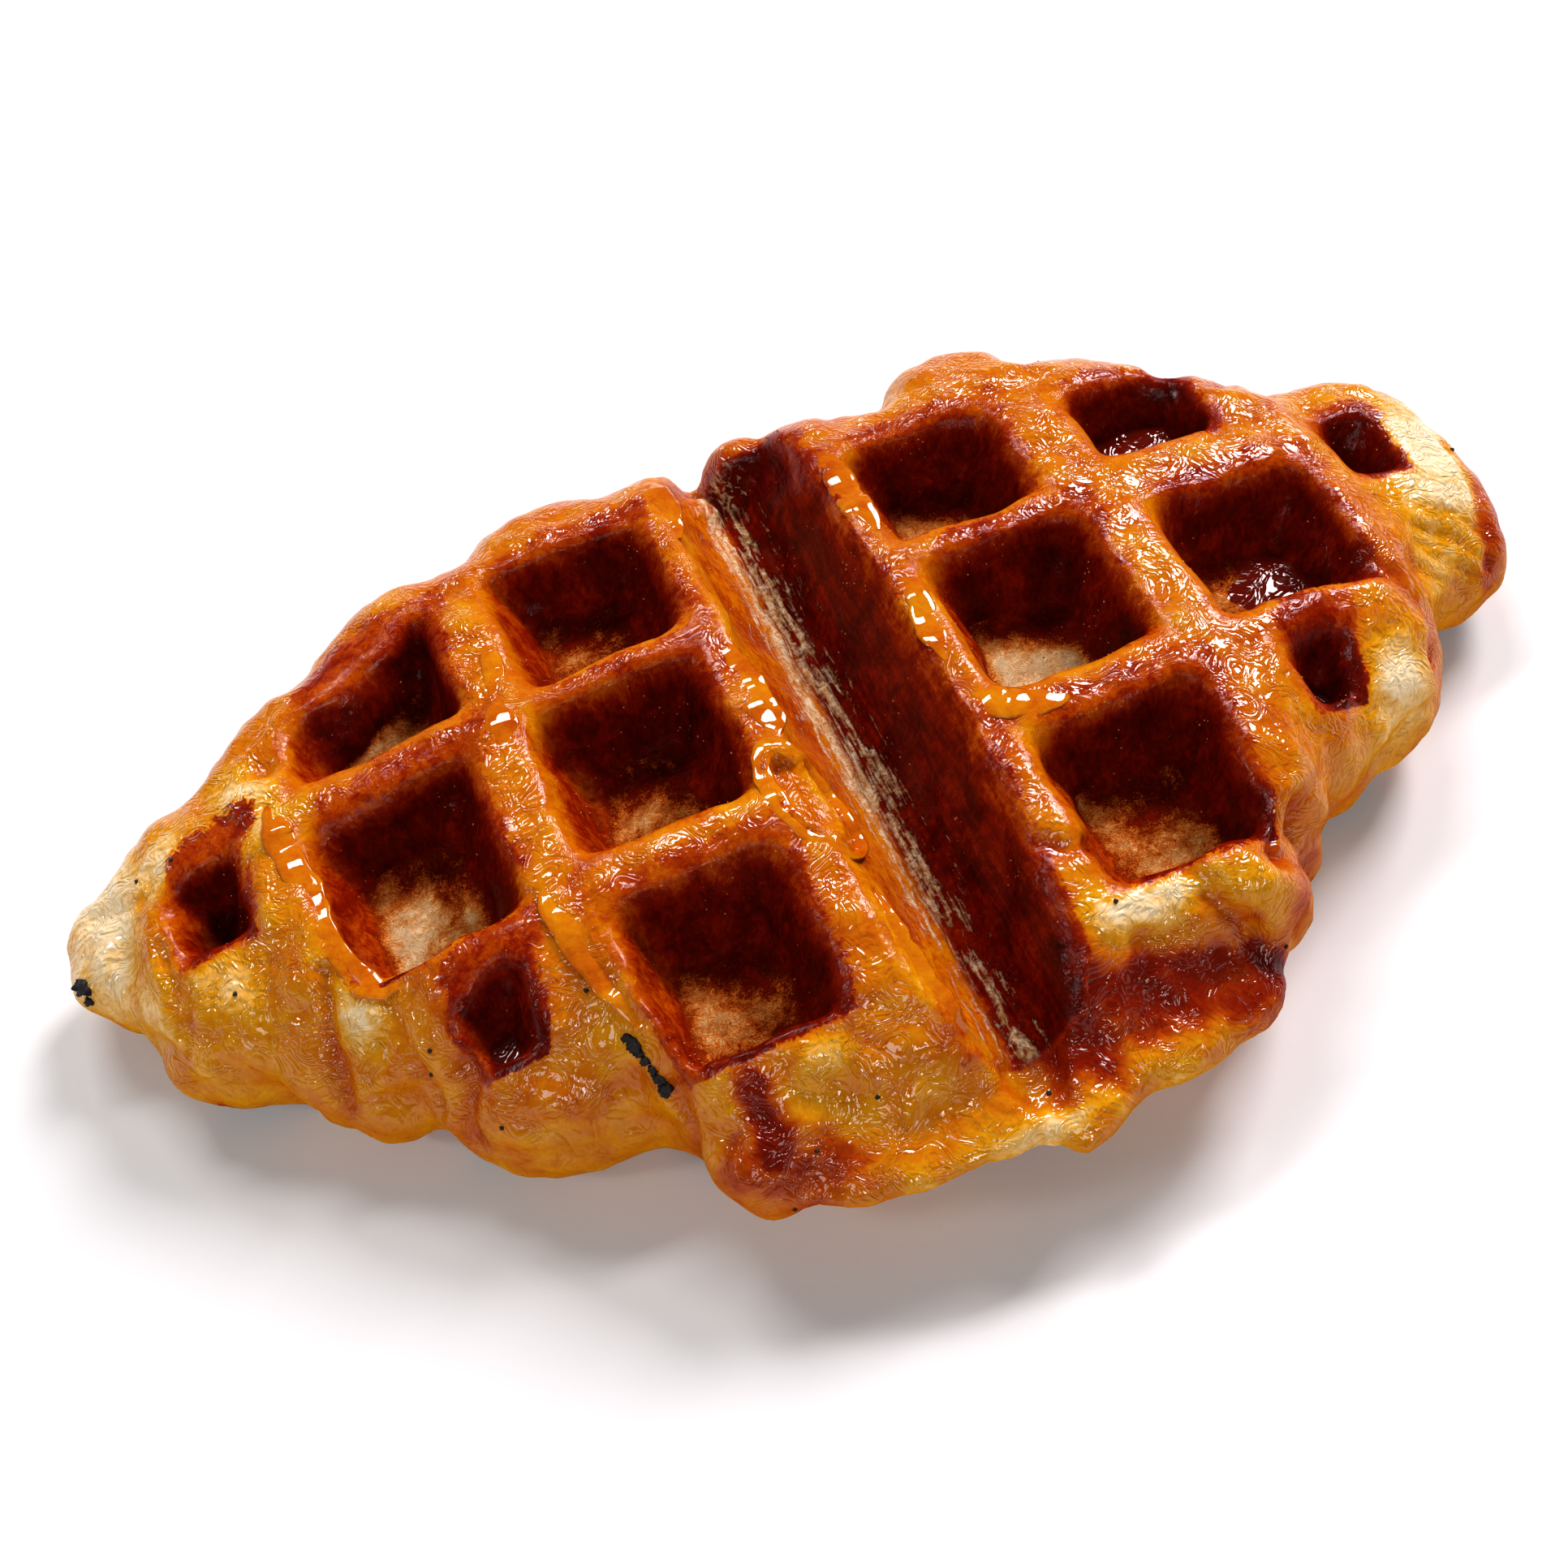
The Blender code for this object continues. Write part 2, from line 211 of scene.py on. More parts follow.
def add_values(piece, name, values, kind="FLOAT"):
    """Give every vertex of a piece a named value, or a vector."""
    attribute = piece.data.attributes.new(name, kind, "POINT")
    field = "vector" if kind == "FLOAT_VECTOR" else "value"
    attribute.data.foreach_set(field, np.asarray(values, np.float32).ravel())


PEG_VALUES = {"depth": PITCH, "drawn_in": PITCH, "draft": 1, "side": 1}  # a peg's last four, with units


def peg_points():
    """One vertex for each peg, with the peg's sizes in metres."""
    builder = bmesh.new()
    for peg in PEGS:
        builder.verts.new(place(peg[0], peg[1]))
    points = new_piece("peg_points", builder)
    table = np.array(PEGS, float)
    half = np.column_stack([table[:, 2:4] / 2 * PITCH, np.zeros(len(PEGS))])
    add_values(points, "half_opening", half, "FLOAT_VECTOR")
    for column, (name, unit) in enumerate(PEG_VALUES.items(), 4):
        add_values(points, name, table[:, column] * unit)
    return points


class Tree:
    """Short words for building one node tree: each call adds a node and returns its output."""

    def __init__(self, tree):
        self.tree = tree

    def add(self, kind, inputs=(), out=0, **settings):
        node = self.tree.nodes.new(kind)
        for name, value in settings.items():
            setattr(node, name, value)
        for socket, value in dict(inputs).items():
            if isinstance(value, bpy.types.NodeSocket):
                self.link(value, node.inputs[socket])
            else:
                node.inputs[socket].default_value = value
        return node.outputs[out] if len(node.outputs) else node

    def math(self, operation, *values):
        return self.add("ShaderNodeMath", dict(enumerate(values)), operation=operation)

    def times(self, value, factor):
        return self.math("MULTIPLY", value, factor)

    def scaled(self, value, factor, start):
        """start + value * factor"""
        return self.math("MULTIPLY_ADD", value, factor, start)

    def noise(self, place, scale, detail, roughness=0.5, distortion=0.0):
        return self.add("ShaderNodeTexNoise", {"Vector": place, "Scale": scale, "Detail": detail,
                                               "Roughness": roughness, "Distortion": distortion})

    def bump(self, height):
        return self.add("ShaderNodeBump", {"Strength": 1.0, "Distance": 1.0, "Height": height})

    def link(self, value, socket):
        self.tree.links.new(value, socket)

    def geometry(self, kind, inputs=(), **settings):
        return self.add("GeometryNode" + kind, inputs, **settings)

    def finish(self, geometry, material, result):
        geometry = self.geometry("RealizeInstances", {"Geometry": geometry})
        self.link(self.geometry("SetMaterial", {"Geometry": geometry, "Material": material}), result)

    def vector(self, operation, *values):
        return self.add("ShaderNodeVectorMath", dict(enumerate(values)), operation=operation)

    def parts(self, vector):
        return self.add("ShaderNodeSeparateXYZ", {0: vector}).node.outputs[:3]

    def named(self, name, kind="FLOAT"):
        return self.geometry("InputNamedAttribute", {"Name": name}, data_type=kind)


def geometry_tree(name, inputs):
    """A geometry tree and its named inputs, each with a value or, as text, the kind of its socket."""
    kinds = {float: "Float", int: "Int"}
    group = bpy.data.node_groups.new(name, "GeometryNodeTree")
    face = group.interface
    face.new_socket("Geometry", in_out="INPUT", socket_type="NodeSocketGeometry")
    face.new_socket("Geometry", in_out="OUTPUT", socket_type="NodeSocketGeometry")
    for title, value in inputs.items():
        kind = kinds.get(type(value), value)
        socket = face.new_socket(title, in_out="INPUT", socket_type="NodeSocket" + kind)
        if kind != value:
            socket.default_value = value
    start = group.nodes.new("NodeGroupInput")
    end = group.nodes.new("NodeGroupOutput")
    return Tree(group), start.outputs, end.inputs[0]


def run_tree(piece, tree, values):
    """Run a geometry tree on a piece with its named inputs set, and keep the plain mesh."""
    modifier = piece.modifiers.new(tree.tree.name, "NODES")
    modifier.node_group = tree.tree
    for item in tree.tree.interface.items_tree:
        if item.in_out == "INPUT" and item.name in values:
            modifier[item.identifier] = values[item.name]
    plain_mesh(piece)


def plates_tree():
    """Tapered pegs on the points of both plates, pressed into the dough."""
    tree, given, result = geometry_tree("waffle plates", {
        "Pegs": "Object", "Dough height": THICKNESS, "Peg root": PEG_ROOT * PITCH,
        "Bluntest tip": TIP_LEAST * PITCH, "Crust": "Material"})
    cube = tree.geometry("MeshCube", {"Size": (2, 2, 2)})
    at = tree.geometry("InputPosition")
    cube = tree.geometry("StoreNamedAttribute", {"Geometry": cube, "Name": "corner", "Value": at},
                         data_type="FLOAT_VECTOR", domain="POINT")
    points = tree.geometry("ObjectInfo", {"Object": given["Pegs"]}, out=4)
    points = tree.geometry("MeshToPoints", {"Mesh": points})
    pegs = tree.geometry("InstanceOnPoints", {"Points": points, "Instance": cube})
    pegs = tree.geometry("RealizeInstances", {"Geometry": pegs})
    corner = tree.named("corner", "FLOAT_VECTOR")
    middle = tree.vector("SUBTRACT", at, corner)
    x, y, z = tree.parts(corner)
    middle_x, middle_y, _ = tree.parts(middle)
    half_x, half_y, _ = tree.parts(tree.named("half_opening", "FLOAT_VECTOR"))
    side = tree.named("side")
    rooted = tree.math("GREATER_THAN", tree.times(z, side), 0.0)
    tipped = tree.math("SUBTRACT", 1.0, rooted)
    below = tree.times(tipped, tree.named("depth"))
    above = tree.math("SUBTRACT", tree.times(rooted, given["Peg root"]), below)
    spread = tree.times(above, tree.named("draft"))
    reach_x = tree.math("MAXIMUM", tree.math("ADD", half_x, spread), given["Bluntest tip"])
    reach_y = tree.math("MAXIMUM", tree.math("ADD", half_y, spread), given["Bluntest tip"])
    far_left = tree.times(tree.math("LESS_THAN", x, 0.0), tree.math("GREATER_THAN", y, 0.0))
    pull = tree.times(far_left, tree.named("drawn_in"))
    half_height = tree.times(given["Dough height"], 0.5)
    lift = tree.times(side, tree.math("ADD", half_height, above))
    new_x = tree.scaled(x, reach_x, middle_x)
    new_y = tree.math("SUBTRACT", tree.scaled(y, reach_y, middle_y), pull)
    new_z = tree.math("ADD", half_height, lift)
    spot = tree.add("ShaderNodeCombineXYZ", {0: new_x, 1: new_y, 2: new_z})
    pegs = tree.geometry("SetPosition", {"Geometry": pegs, "Position": spot})
    dough = tree.geometry("MeshBoolean", {
        "Mesh 1": given["Geometry"], "Mesh 2": pegs, "Self Intersection": True},
        operation="DIFFERENCE", solver="EXACT")
    tree.finish(dough, given["Crust"], result)
    return tree


crust_finish = bpy.data.materials.new("baked_crust")
pegs = peg_points()
run_tree(crust, plates_tree(), {"Pegs": pegs, "Crust": crust_finish})
bpy.data.objects.remove(pegs)

# THE BAKED SKIN. The pressed dough with its spills, sagged towards its edges as it cools. The
# surface is lumpy and wrinkled from boiling butter, creased where the rolls meet, and flaked
# where a thin outer layer has lifted.
SKIN_VOXEL = 0.00067
SKIN_EASE_PASSES = 9
CROWN_PASSES = 16  # more easing on the rib crowns, which bake round
CROWN_START = 0.60
CROWN_FULL = 0.90
DOME_ALONG = 0.037  # the upper face's sag, in pitches a square pitch
DOME_ACROSS = 0.030
DOME_START = 0.4  # none nearer than this to the middle
FOOT = 0.00020  # so much is cut off the lowest ribs
LUMPS = [  # size, height, seed, how much less of it in the wells
    (0.0075, 0.00030, 0.0, 0.0),
    (0.0042, 0.00048, 7.3, 0.7),
    (0.0021, 0.00022, 14.6, 0.7),
]
WANDER_SIZE = 0.0048
WANDER_SEEDS = (3.1, 9.7)
WANDER = 0.00068  # the wells' edges wander sideways by this much
CREASES = {  # where rolls or layers meet: width and depth in mm, route (along, across, up) in pitches
    "tip_1": (0.7, 0.6, [(-3.06, 0.66, 0.73), (-3.04, 0.44, 0.69), (-3.1, 0.3, 0.58)]),
    "tip_2": (0.7, 0.5, [(-2.96, 0.5, 0.72), (-3.01, 0.34, 0.66), (-3.1, 0.2, 0.5)]),
    "tip_3": (0.7, 0.4, [(-2.86, 0.39, 0.75), (-2.97, 0.21, 0.58)]),
    "tip_crack": (0.7, 0.5, [(-3.36, 1.07, 0.5), (-3.2, 0.96, 0.62), (-3.09, 0.88, 0.7)]),
    "left_1": (0.9, 1.3, [
        (-2.42, 0.12, 0.84), (-2.47, 0.02, 0.76), (-2.52, -0.08, 0.65), (-2.53, -0.25, 0.4)]),
    "left_2": (0.8, 0.6, [(-2.25, -0.04, 0.82), (-2.2, -0.25, 0.68), (-2.21, -0.46, 0.45)]),
    "left_3": (1.4, 1.6, [(-2.02, -0.44, 0.7), (-2.07, -0.52, 0.58), (-2.13, -0.6, 0.38)]),
    "near_1": (1.2, 0.9, [(-1.33, -0.88, 0.75), (-1.28, -1.0, 0.6), (-1.3, -1.06, 0.4)]),
    "right_tip": (1.6, 1.4, [
        (2.33, 0.16, 0.92), (2.37, 0.04, 0.86), (2.48, -0.13, 0.7), (2.47, -0.28, 0.58)]),
    "right_flap": (1.6, 1.7, [
        (1.28, -0.92, 0.94), (1.24, -1.04, 0.88), (1.34, -1.02, 0.7), (1.42, -0.98, 0.5)]),
    "right_band": (1.2, 0.9, [
        (0.86, -1.1, 0.93), (1.02, -1.2, 0.8), (1.01, -1.32, 0.66), (1.15, -1.31, 0.55)]),
    "right_notch": (2.8, 3.6, [(1.47, -0.93, 0.82), (1.47, -0.99, 0.5), (1.45, -1.0, 0.2)]),
    "lobe_edge": (0.9, 0.9, [
        (0.84, -0.98, 0.95), (0.88, -1.04, 0.93), (0.94, -1.18, 0.83), (1.06, -1.27, 0.64)]),
    "crown_fold": (0.9, 1.0, [
        (0.36, -0.66, 1.03), (0.43, -0.74, 1.03), (0.52, -0.74, 0.99), (0.58, -0.7, 0.92)]),
    "far_1": (1.5, 1.3, [(-2.42, 1.2, 0.86), (-2.4, 1.32, 0.66), (-2.38, 1.36, 0.4)]),
    "far_2": (1.5, 1.2, [(-1.85, 1.74, 0.84), (-1.8, 1.84, 0.6), (-1.78, 1.86, 0.36)]),
    "far_3": (1.5, 1.2, [(1.58, 1.98, 0.84), (1.62, 2.02, 0.6), (1.6, 2.0, 0.36)]),
    "far_4": (1.6, 1.5, [(2.34, 1.4, 0.86), (2.38, 1.48, 0.62), (2.36, 1.48, 0.36)]),
    # the right tip's loose skin has gathered into folds
    "fold_1": (0.7, 0.45, [(2.79, 0.42, 0.73), (2.92, 0.34, 0.67), (3.07, 0.27, 0.57)]),
    "fold_2": (0.7, 0.5, [(2.75, 0.32, 0.7), (2.89, 0.24, 0.62), (3.01, 0.16, 0.52)]),
    "fold_3": (0.7, 0.45, [(2.69, 0.25, 0.68), (2.83, 0.17, 0.57), (2.97, 0.09, 0.46)]),
    "fold_4": (0.8, 0.4, [(2.61, 0.15, 0.7), (2.78, 0.11, 0.53), (2.94, 0.05, 0.39)]),
    "tail": (0.9, 0.5, [(3.2, 0.74, 0.58), (3.18, 0.48, 0.58), (3.11, 0.27, 0.55), (3.05, 0.12, 0.45)]),
}
CREASE_WOBBLE = 0.00045  # a crease wanders from side to side by this much
WOBBLE_SIZE = 0.0024
WOBBLE_SEED = 31.0
FLAKES = {  # lifted films: along, across, up, half sizes along and across, all in pitches
    "right_lobe": (2.18, -0.42, 0.68, 0.26, 0.22),
    "lip": (0.62, -1.04, 0.92, 0.24, 0.11),
    "second_pool": (1.94, 0.50, 0.72, 0.08, 0.07),
    "crown_by_pit": (1.86, -0.04, 0.95, 0.16, 0.10),
    "left_neck": (-2.50, 0.98, 0.88, 0.13, 0.22),
    "front": (-0.05, -1.57, 0.56, 0.34, 0.07),
    "lit_floor_side": (-0.75, -1.07, 0.85, 0.12, 0.08),
}
SWELLINGS = [  # pinholes, blisters and dents: along, across, up in pitches, radius and height in mm
    (2.12, 1.04, 0.95, 0.9, -0.90), (2.03, 1.00, 0.96, 0.5, -0.90), (-3.25, 1.03, 0.60, 0.5, -0.90),
    (-0.79, -1.06, 0.84, 1.9, 0.75), (-0.88, -1.22, 0.69, 1.5, 0.60), (-0.60, -1.13, 0.79, 1.4, 0.45),
    (-1.16, -1.10, 0.74, 1.6, 0.60), (-1.20, -1.26, 0.58, 1.6, 0.50), (-1.04, -1.16, 0.72, 1.3, -0.80),
    (-0.70, -1.20, 0.72, 1.0, -0.45), (-0.44, -1.28, 0.68, 1.3, 0.40), (-0.30, -1.12, 0.84, 1.6, 0.40),
    (0.62, -1.36, 0.64, 1.2, -0.40), (0.38, -1.34, 0.66, 1.2, 0.35), (0.84, -1.36, 0.64, 1.4, 0.40),
    (1.10, -1.12, 0.88, 1.8, 0.60), (-1.72, -0.72, 0.62, 2.4, 0.45), (-1.50, -0.80, 0.72, 1.8, 0.40),
    (-2.30, -0.28, 0.60, 2.0, 0.45), (-2.78, 0.22, 0.62, 2.4, 0.50), (2.22, -0.40, 0.72, 2.2, 0.55),
]
FLAKE_HEIGHT = 0.00034
FLAKE_DEPTH = 0.22  # how far below or above its middle a film reaches, in pitches
FLAKE_TEAR = (0.0028, 21.0)  # size and seed of its torn edge
FLAKE_TORN = 0.45
BLISTER = (-0.385, -0.055, 1.06)  # a burst bubble of glaze on the crown left of the groove
BLISTER_END = (-0.335, -0.285, 1.02)  # the end of its long axis
BLISTER_WIDTH = 0.100
BLISTER_DEPTH = 0.0013
BLISTER_RIM = 0.00030
SHOWN_LEVEL = 0.37 * THICKNESS  # between the floors of the upper and the lower groove
FROTH_RIDGES = [(-0.09, 0.034, 0.00075), (0.02, 0.024, 0.00060)]  # along, half width, height
RIDGE_WAVE = (0.0040, 47.0)  # size and seed
RIDGE_WAVER = 0.010
RIDGE_GRAIN = (0.0013, 51.0)
RIDGE_BROKEN = 0.6


def merge(piece, other):
    builder = bmesh.new()
    builder.from_mesh(piece.data)
    builder.from_mesh(other.data)
    builder.to_mesh(piece.data)
    builder.free()
    bpy.data.objects.remove(other)


def sunk(along, across):
    """How far the upper face has sunk over a place, as a share of the dough's height."""
    drop = DOME_ALONG * np.maximum(0.0, abs(along) - DOME_START) ** 2 + DOME_ACROSS * across ** 2
    return drop * PITCH / THICKNESS


def along_across(points):
    return points[:, 0] / PITCH + CENTRE_U, points[:, 1] / PITCH + CENTRE_V


def fade(values, low, high):
    """0 below low, 1 above high, smooth between."""
    share = np.clip((values - low) / (high - low), 0, 1)
    return share * share * (3 - 2 * share)


def grain(points, size, seed=0.0):
    """Smooth noise from -1 to 1 at every point, its features of that size."""
    shift = Vector((seed, seed, seed))
    return np.array([noise.noise(Vector(point) / size + shift) for point in points])


def spot(place_in_pitches):
    """A point given as along and across in pitches, and up in pitches from the foot."""
    along, across, up = place_in_pitches
    return np.array([(along - CENTRE_U) * PITCH, (across - CENTRE_V) * PITCH, up * PITCH])


def distance_to_route(points, route):
    """From every point to the nearest place on a route of straight stretches."""
    nearest = np.full(len(points), np.inf)
    for start, end in zip(route[:-1], route[1:]):
        start, end = spot(start), spot(end)
        stretch = end - start
        share = np.clip((points - start) @ stretch / (stretch @ stretch), 0, 1)
        nearest = np.minimum(nearest, np.linalg.norm(points - start - share[:, None] * stretch, axis=1))
    return nearest


def round_crowns(piece):
    points = read(piece)
    high = abs(2 * points[:, 2] / THICKNESS / (1 - sunk(*along_across(points))) - 1)
    shares = np.clip((high - CROWN_START) / (CROWN_FULL - CROWN_START), 0, 1)
    group = piece.vertex_groups.new(name="crowns")
    for index in np.flatnonzero(shares):
        group.add([int(index)], float(shares[index]), "REPLACE")
    ease = piece.modifiers.new("round", "SMOOTH")
    ease.vertex_group = group.name
    ease.iterations = CROWN_PASSES
    plain_mesh(piece)


merge(crust, roll_dough("spills", SPILLS))
points = read(crust)
along, across = along_across(points)
points[:, 2] *= 1 - sunk(along, across)
write(crust, points)
skin_over(crust, SKIN_VOXEL, SKIN_EASE_PASSES)
round_crowns(crust)


EDGE_REACH = 0.20
EDGE_SINKS = 0.7  # a place counts as further in by this share of its depth
FAR_CLIMB = 0.075  # and by so many pitches over a well's far edge: painted shade, the walls' dark colour climbing further over it
NEAR_HOLD = 0.060  # less by so many at its near and left edges: painted light, the dark colour held back where the light falls


class Marks:
    """Where each point of the crust lies among the wells: worked out once, read by all."""

    GROOVE_NEAR_END = -1.22
    GROOVE_FAR_END = 2.02
    # Where each mark fades in, from none to all of it, in pitches unless said:
    BELOW_FLOOR = (0.07, 0.13)
    OVER_EDGE = (-0.080, -0.015)
    ON_FLOOR = (-0.06, 0.08)
    TO_FLOOR = (0.84, 0.96)  # as a share of the well's depth
    FAR_SIDE = (0.50, 0.95)  # as shares of the way to the well's edge
    NEAR_SIDES = (0.60, 0.95)

    def __init__(self, points):
        self.along, self.across = along_across(points)
        self.height = points[:, 2] / THICKNESS / (1 - sunk(self.along, self.across))
        count = len(points)
        self.inside = np.zeros(count)  # 1 in a well or groove
        self.depth = np.zeros(count)  # below the rib crowns, as a share of the well's depth
        self.floor = np.zeros(count)
        self.edge = np.full(count, -EDGE_REACH)  # pitches inwards from the nearest well's edge
        self.groove = np.zeros(count)
        self.tone = np.zeros(count)  # how pale the well's floor is
        self.side_u = np.zeros(count)  # -1 to 1 across the well
        self.side_v = np.zeros(count)
        for peg, tone in zip(PEGS, FLOOR_TONES):
            if tone is not None:
                self.read_peg(tone, *peg)

    def read_peg(self, tone, middle_u, middle_v, width, length, depth, drawn_in, draft, side):
        down = (1 - self.height if side > 0 else self.height) * THICKNESS / PITCH
        level = np.clip(down, 0, depth)
        off_u = self.along - middle_u
        off_v = self.across - middle_v
        half_u = width / 2 - level * draft
        half_v = length / 2 - level * draft - drawn_in * (off_u < 0) * (off_v > 0) * abs(off_u) / half_u
        edge = np.minimum(half_u - abs(off_u), half_v - abs(off_v))
        if draft == BAR_DRAFT:
            edge = np.minimum(edge, self.across - self.GROOVE_NEAR_END)
            edge = np.minimum(edge, self.GROOVE_FAR_END - self.across)
        reached = 1 - fade(down - depth, *self.BELOW_FLOOR)
        inside = fade(edge, *self.OVER_EDGE) * reached
        better = inside > self.inside
        floor_u = width / 2 - depth * draft
        floor_v = length / 2 - depth * draft
        floor_edge = np.minimum(floor_u - abs(off_u), floor_v - abs(off_v))
        on_floor = fade(down / depth, *self.TO_FLOOR) * fade(floor_edge, *self.ON_FLOOR) * inside
        marks = {"floor": on_floor, "tone": tone, "depth": level / depth * inside,
                 "side_u": off_u / half_u, "side_v": off_v / half_v, "inside": inside}
        for name, values in marks.items():
            setattr(self, name, np.where(better, values, getattr(self, name)))
        deeper = edge + EDGE_SINKS * level * inside
        # Painted shade over the wells' far edges and painted light at their near and left edges.
        if draft != BAR_DRAFT:
            deeper += FAR_CLIMB * fade(off_v / half_v, *self.FAR_SIDE)
            deeper -= NEAR_HOLD * fade(np.maximum(-off_v / half_v, -off_u / half_u), *self.NEAR_SIDES)
        deeper = np.clip(deeper, -EDGE_REACH, EDGE_REACH)
        self.edge = np.maximum(self.edge, deeper * reached - EDGE_REACH * (1 - reached))
        if draft == BAR_DRAFT:
            self.groove = np.maximum(self.groove, inside)


PALE_FLOORS = {  # how far the hot plate left a well's floor pale; None for a side that isn't a well
    "left_1_far": 0.46, "left_1_mid": 0.32, "left_1_near": 0.40, "left_2_far": 0.72,
    "left_2_mid": 0.70, "left_2_near": 0.0, "left_3_mid": 0.0, "right_1_far": 0.58,
    "right_1_mid": 0.74, "right_1_near": 0.50, "right_1_edge": None, "right_2_far": 0.20,
    "right_2_mid": 0.40, "right_2_near": 0.0, "right_3_mid": 0.0,
}
UNDER_FLOORS = 0.55
FLOOR_TONES = [PALE_FLOORS[name] for name in SHOWN_WELLS]
FLOOR_TONES += [UNDER_FLOORS] * (len(PEGS) - len(FLOOR_TONES) - 2) + [0.0, 0.0]

points = read(crust)
marks = Marks(points)
normals = read(crust, "normal")
wander = [grain(points, WANDER_SIZE, seed) for seed in WANDER_SEEDS]
wander = np.column_stack([*wander, np.zeros(len(points))]) * WANDER
lift = np.zeros(len(points))
for size, height, seed, smoothed in LUMPS:
    lift += grain(points, size, seed) * height * (1 - smoothed * marks.inside)
pooled = -lift / np.abs(lift).max()
crease = np.zeros(len(points))
wobble = [grain(points, WOBBLE_SIZE, WOBBLE_SEED + axis) for axis in range(3)]
wobbled = points + np.column_stack(wobble) * CREASE_WOBBLE
for width, depth, route in CREASES.values():
    away = distance_to_route(wobbled, route) * 1000 / width
    crease = np.maximum(crease, np.exp(-away ** 2) * min(1, depth))
    lift -= depth / 1000 * np.exp(-away ** 2)
flake = np.zeros(len(points))
ragged = grain(points, *FLAKE_TEAR) * FLAKE_TORN
for *middle, half_along, half_across in FLAKES.values():
    off = (points - spot(middle)) / PITCH / (half_along, half_across, FLAKE_DEPTH)
    flake = np.maximum(flake, fade(1 - np.linalg.norm(off, axis=1) + ragged, 0.0, 0.22))
lift += flake * FLAKE_HEIGHT
middle, end = spot(BLISTER), spot(BLISTER_END)
half_length = np.linalg.norm(end - middle)
axis = (end - middle) / half_length
lengthwise = (points - middle) @ axis
sideways = np.linalg.norm(points - middle - lengthwise[:, None] * axis, axis=1)
blister = np.sqrt((lengthwise / half_length) ** 2 + (sideways / (BLISTER_WIDTH * PITCH)) ** 2)
lift += BLISTER_RIM * np.exp(-((blister - 1.0) / 0.2) ** 2) - BLISTER_DEPTH * fade(1 - blister, 0.0, 0.25)
for *middle, radius, height in SWELLINGS:
    away = np.linalg.norm(points - spot(middle), axis=1) * 1000 / radius
    lift += height / 1000 * np.exp(-away ** 2)
shown = points[:, 2] > SHOWN_LEVEL
waver, broken = RIDGE_WAVER * grain(points, *RIDGE_WAVE), RIDGE_BROKEN * grain(points, *RIDGE_GRAIN)
for along, half_width, height in FROTH_RIDGES:
    away = (marks.along - along + waver) / half_width
    lift += height * np.exp(-away ** 2) * (1 + broken) * marks.groove * shown
write(crust, points + wander + normals * lift[:, None])
blister = fade(1 - blister, -0.1, 0.2)
for name, values in {"crease": crease, "flake": flake, "pooled": pooled, "blister": blister}.items():
    add_values(crust, name, values)


def stand_level(piece):
    """Cut the lowest ribs level and stand the piece on them at zero height."""
    builder = bmesh.new()
    builder.from_mesh(piece.data)
    level = min(vert.co.z for vert in builder.verts) + FOOT
    everything = builder.verts[:] + builder.edges[:] + builder.faces[:]
    bmesh.ops.bisect_plane(builder, geom=everything, dist=1e-6, plane_co=(0, 0, level),
                           plane_no=(0, 0, -1), clear_outer=True)
    rims = [edge for edge in builder.edges if edge.is_boundary]
    bmesh.ops.triangle_fill(builder, use_beauty=True, edges=rims)
    bmesh.ops.translate(builder, vec=(0, 0, -level), verts=builder.verts)
    bmesh.ops.triangulate(builder, faces=builder.faces)
    bmesh.ops.recalc_face_normals(builder, faces=builder.faces)
    builder.to_mesh(piece.data)
    builder.free()


stand_level(crust)
crust.data.materials.clear()
crust.data.materials.append(crust_finish)
crust.data.shade_smooth()

# THE CRUST'S COLOURS. How far each place has baked, from raw cream (0) to burnt sugar (1): the
# plates' pegs caramelise the glaze in the wells, and dough that they hardly touched stays pale.
# Painted light and shade lie over this: walls that face the light and the near and left of each
# well's floor are painted paler, the wells' far edges darker, and the creases darker, partly by painted
# shade.
PALE_SPOTS = {  # along, across, up, half sizes along and across in pitches, how pale
    "left tip": (-3.28, 0.96, 0.52, 0.34, 0.34, 1.35),
    "left tip's neck": (-2.96, 1.00, 0.78, 0.24, 0.20, 1.1),
    "left near lobe": (-2.82, 0.34, 0.76, 0.26, 0.26, 0.80),
    "left tip, low": (-3.05, 0.48, 0.52, 0.28, 0.22, 0.75),
    "left far neck": (-2.54, 1.04, 0.86, 0.16, 0.26, 1.15),
    "left second lobe": (-2.36, -0.06, 0.76, 0.12, 0.24, 0.75),
    "right tip": (3.03, 0.66, 0.68, 0.32, 0.46, 1.35),
    "right tip, far": (2.98, 0.92, 0.70, 0.22, 0.22, 1.2),
    "right tip, near": (2.85, 0.48, 0.72, 0.17, 0.17, 0.95),
    "right tip, low": (2.86, 0.24, 0.60, 0.22, 0.22, 0.8),
    "right lobe's film": (2.22, -0.38, 0.72, 0.20, 0.18, 0.85),
    "right lobe, low": (2.18, -0.52, 0.48, 0.22, 0.16, 0.6),
    "lip": (0.66, -1.02, 0.93, 0.24, 0.10, 1.25),
    "right near lobe": (1.02, -1.10, 0.92, 0.16, 0.10, 0.5),
    "front strip": (-0.02, -1.58, 0.58, 0.36, 0.06, 0.45),
    "near left lumps": (-0.73, -1.07, 0.85, 0.09, 0.07, 0.6),
}
BROWN_SPOTS = {
    "far end of the groove": (0.05, 2.10, 0.62, 0.24, 0.14, 0.65),
    "corner of the far groove": (-0.16, 1.98, 0.62, 0.14, 0.12, 0.45),
    "end lobe": (-0.92, -1.44, 0.45, 0.20, 0.10, 0.62),
    "right near corner": (1.28, -1.18, 0.66, 0.10, 0.12, 0.55),
    "crossing by the near well": (0.46, -0.08, 1.00, 0.13, 0.16, 0.45),
    "rib left of the groove": (-0.42, 0.95, 1.00, 0.07, 0.34, 0.35),
}
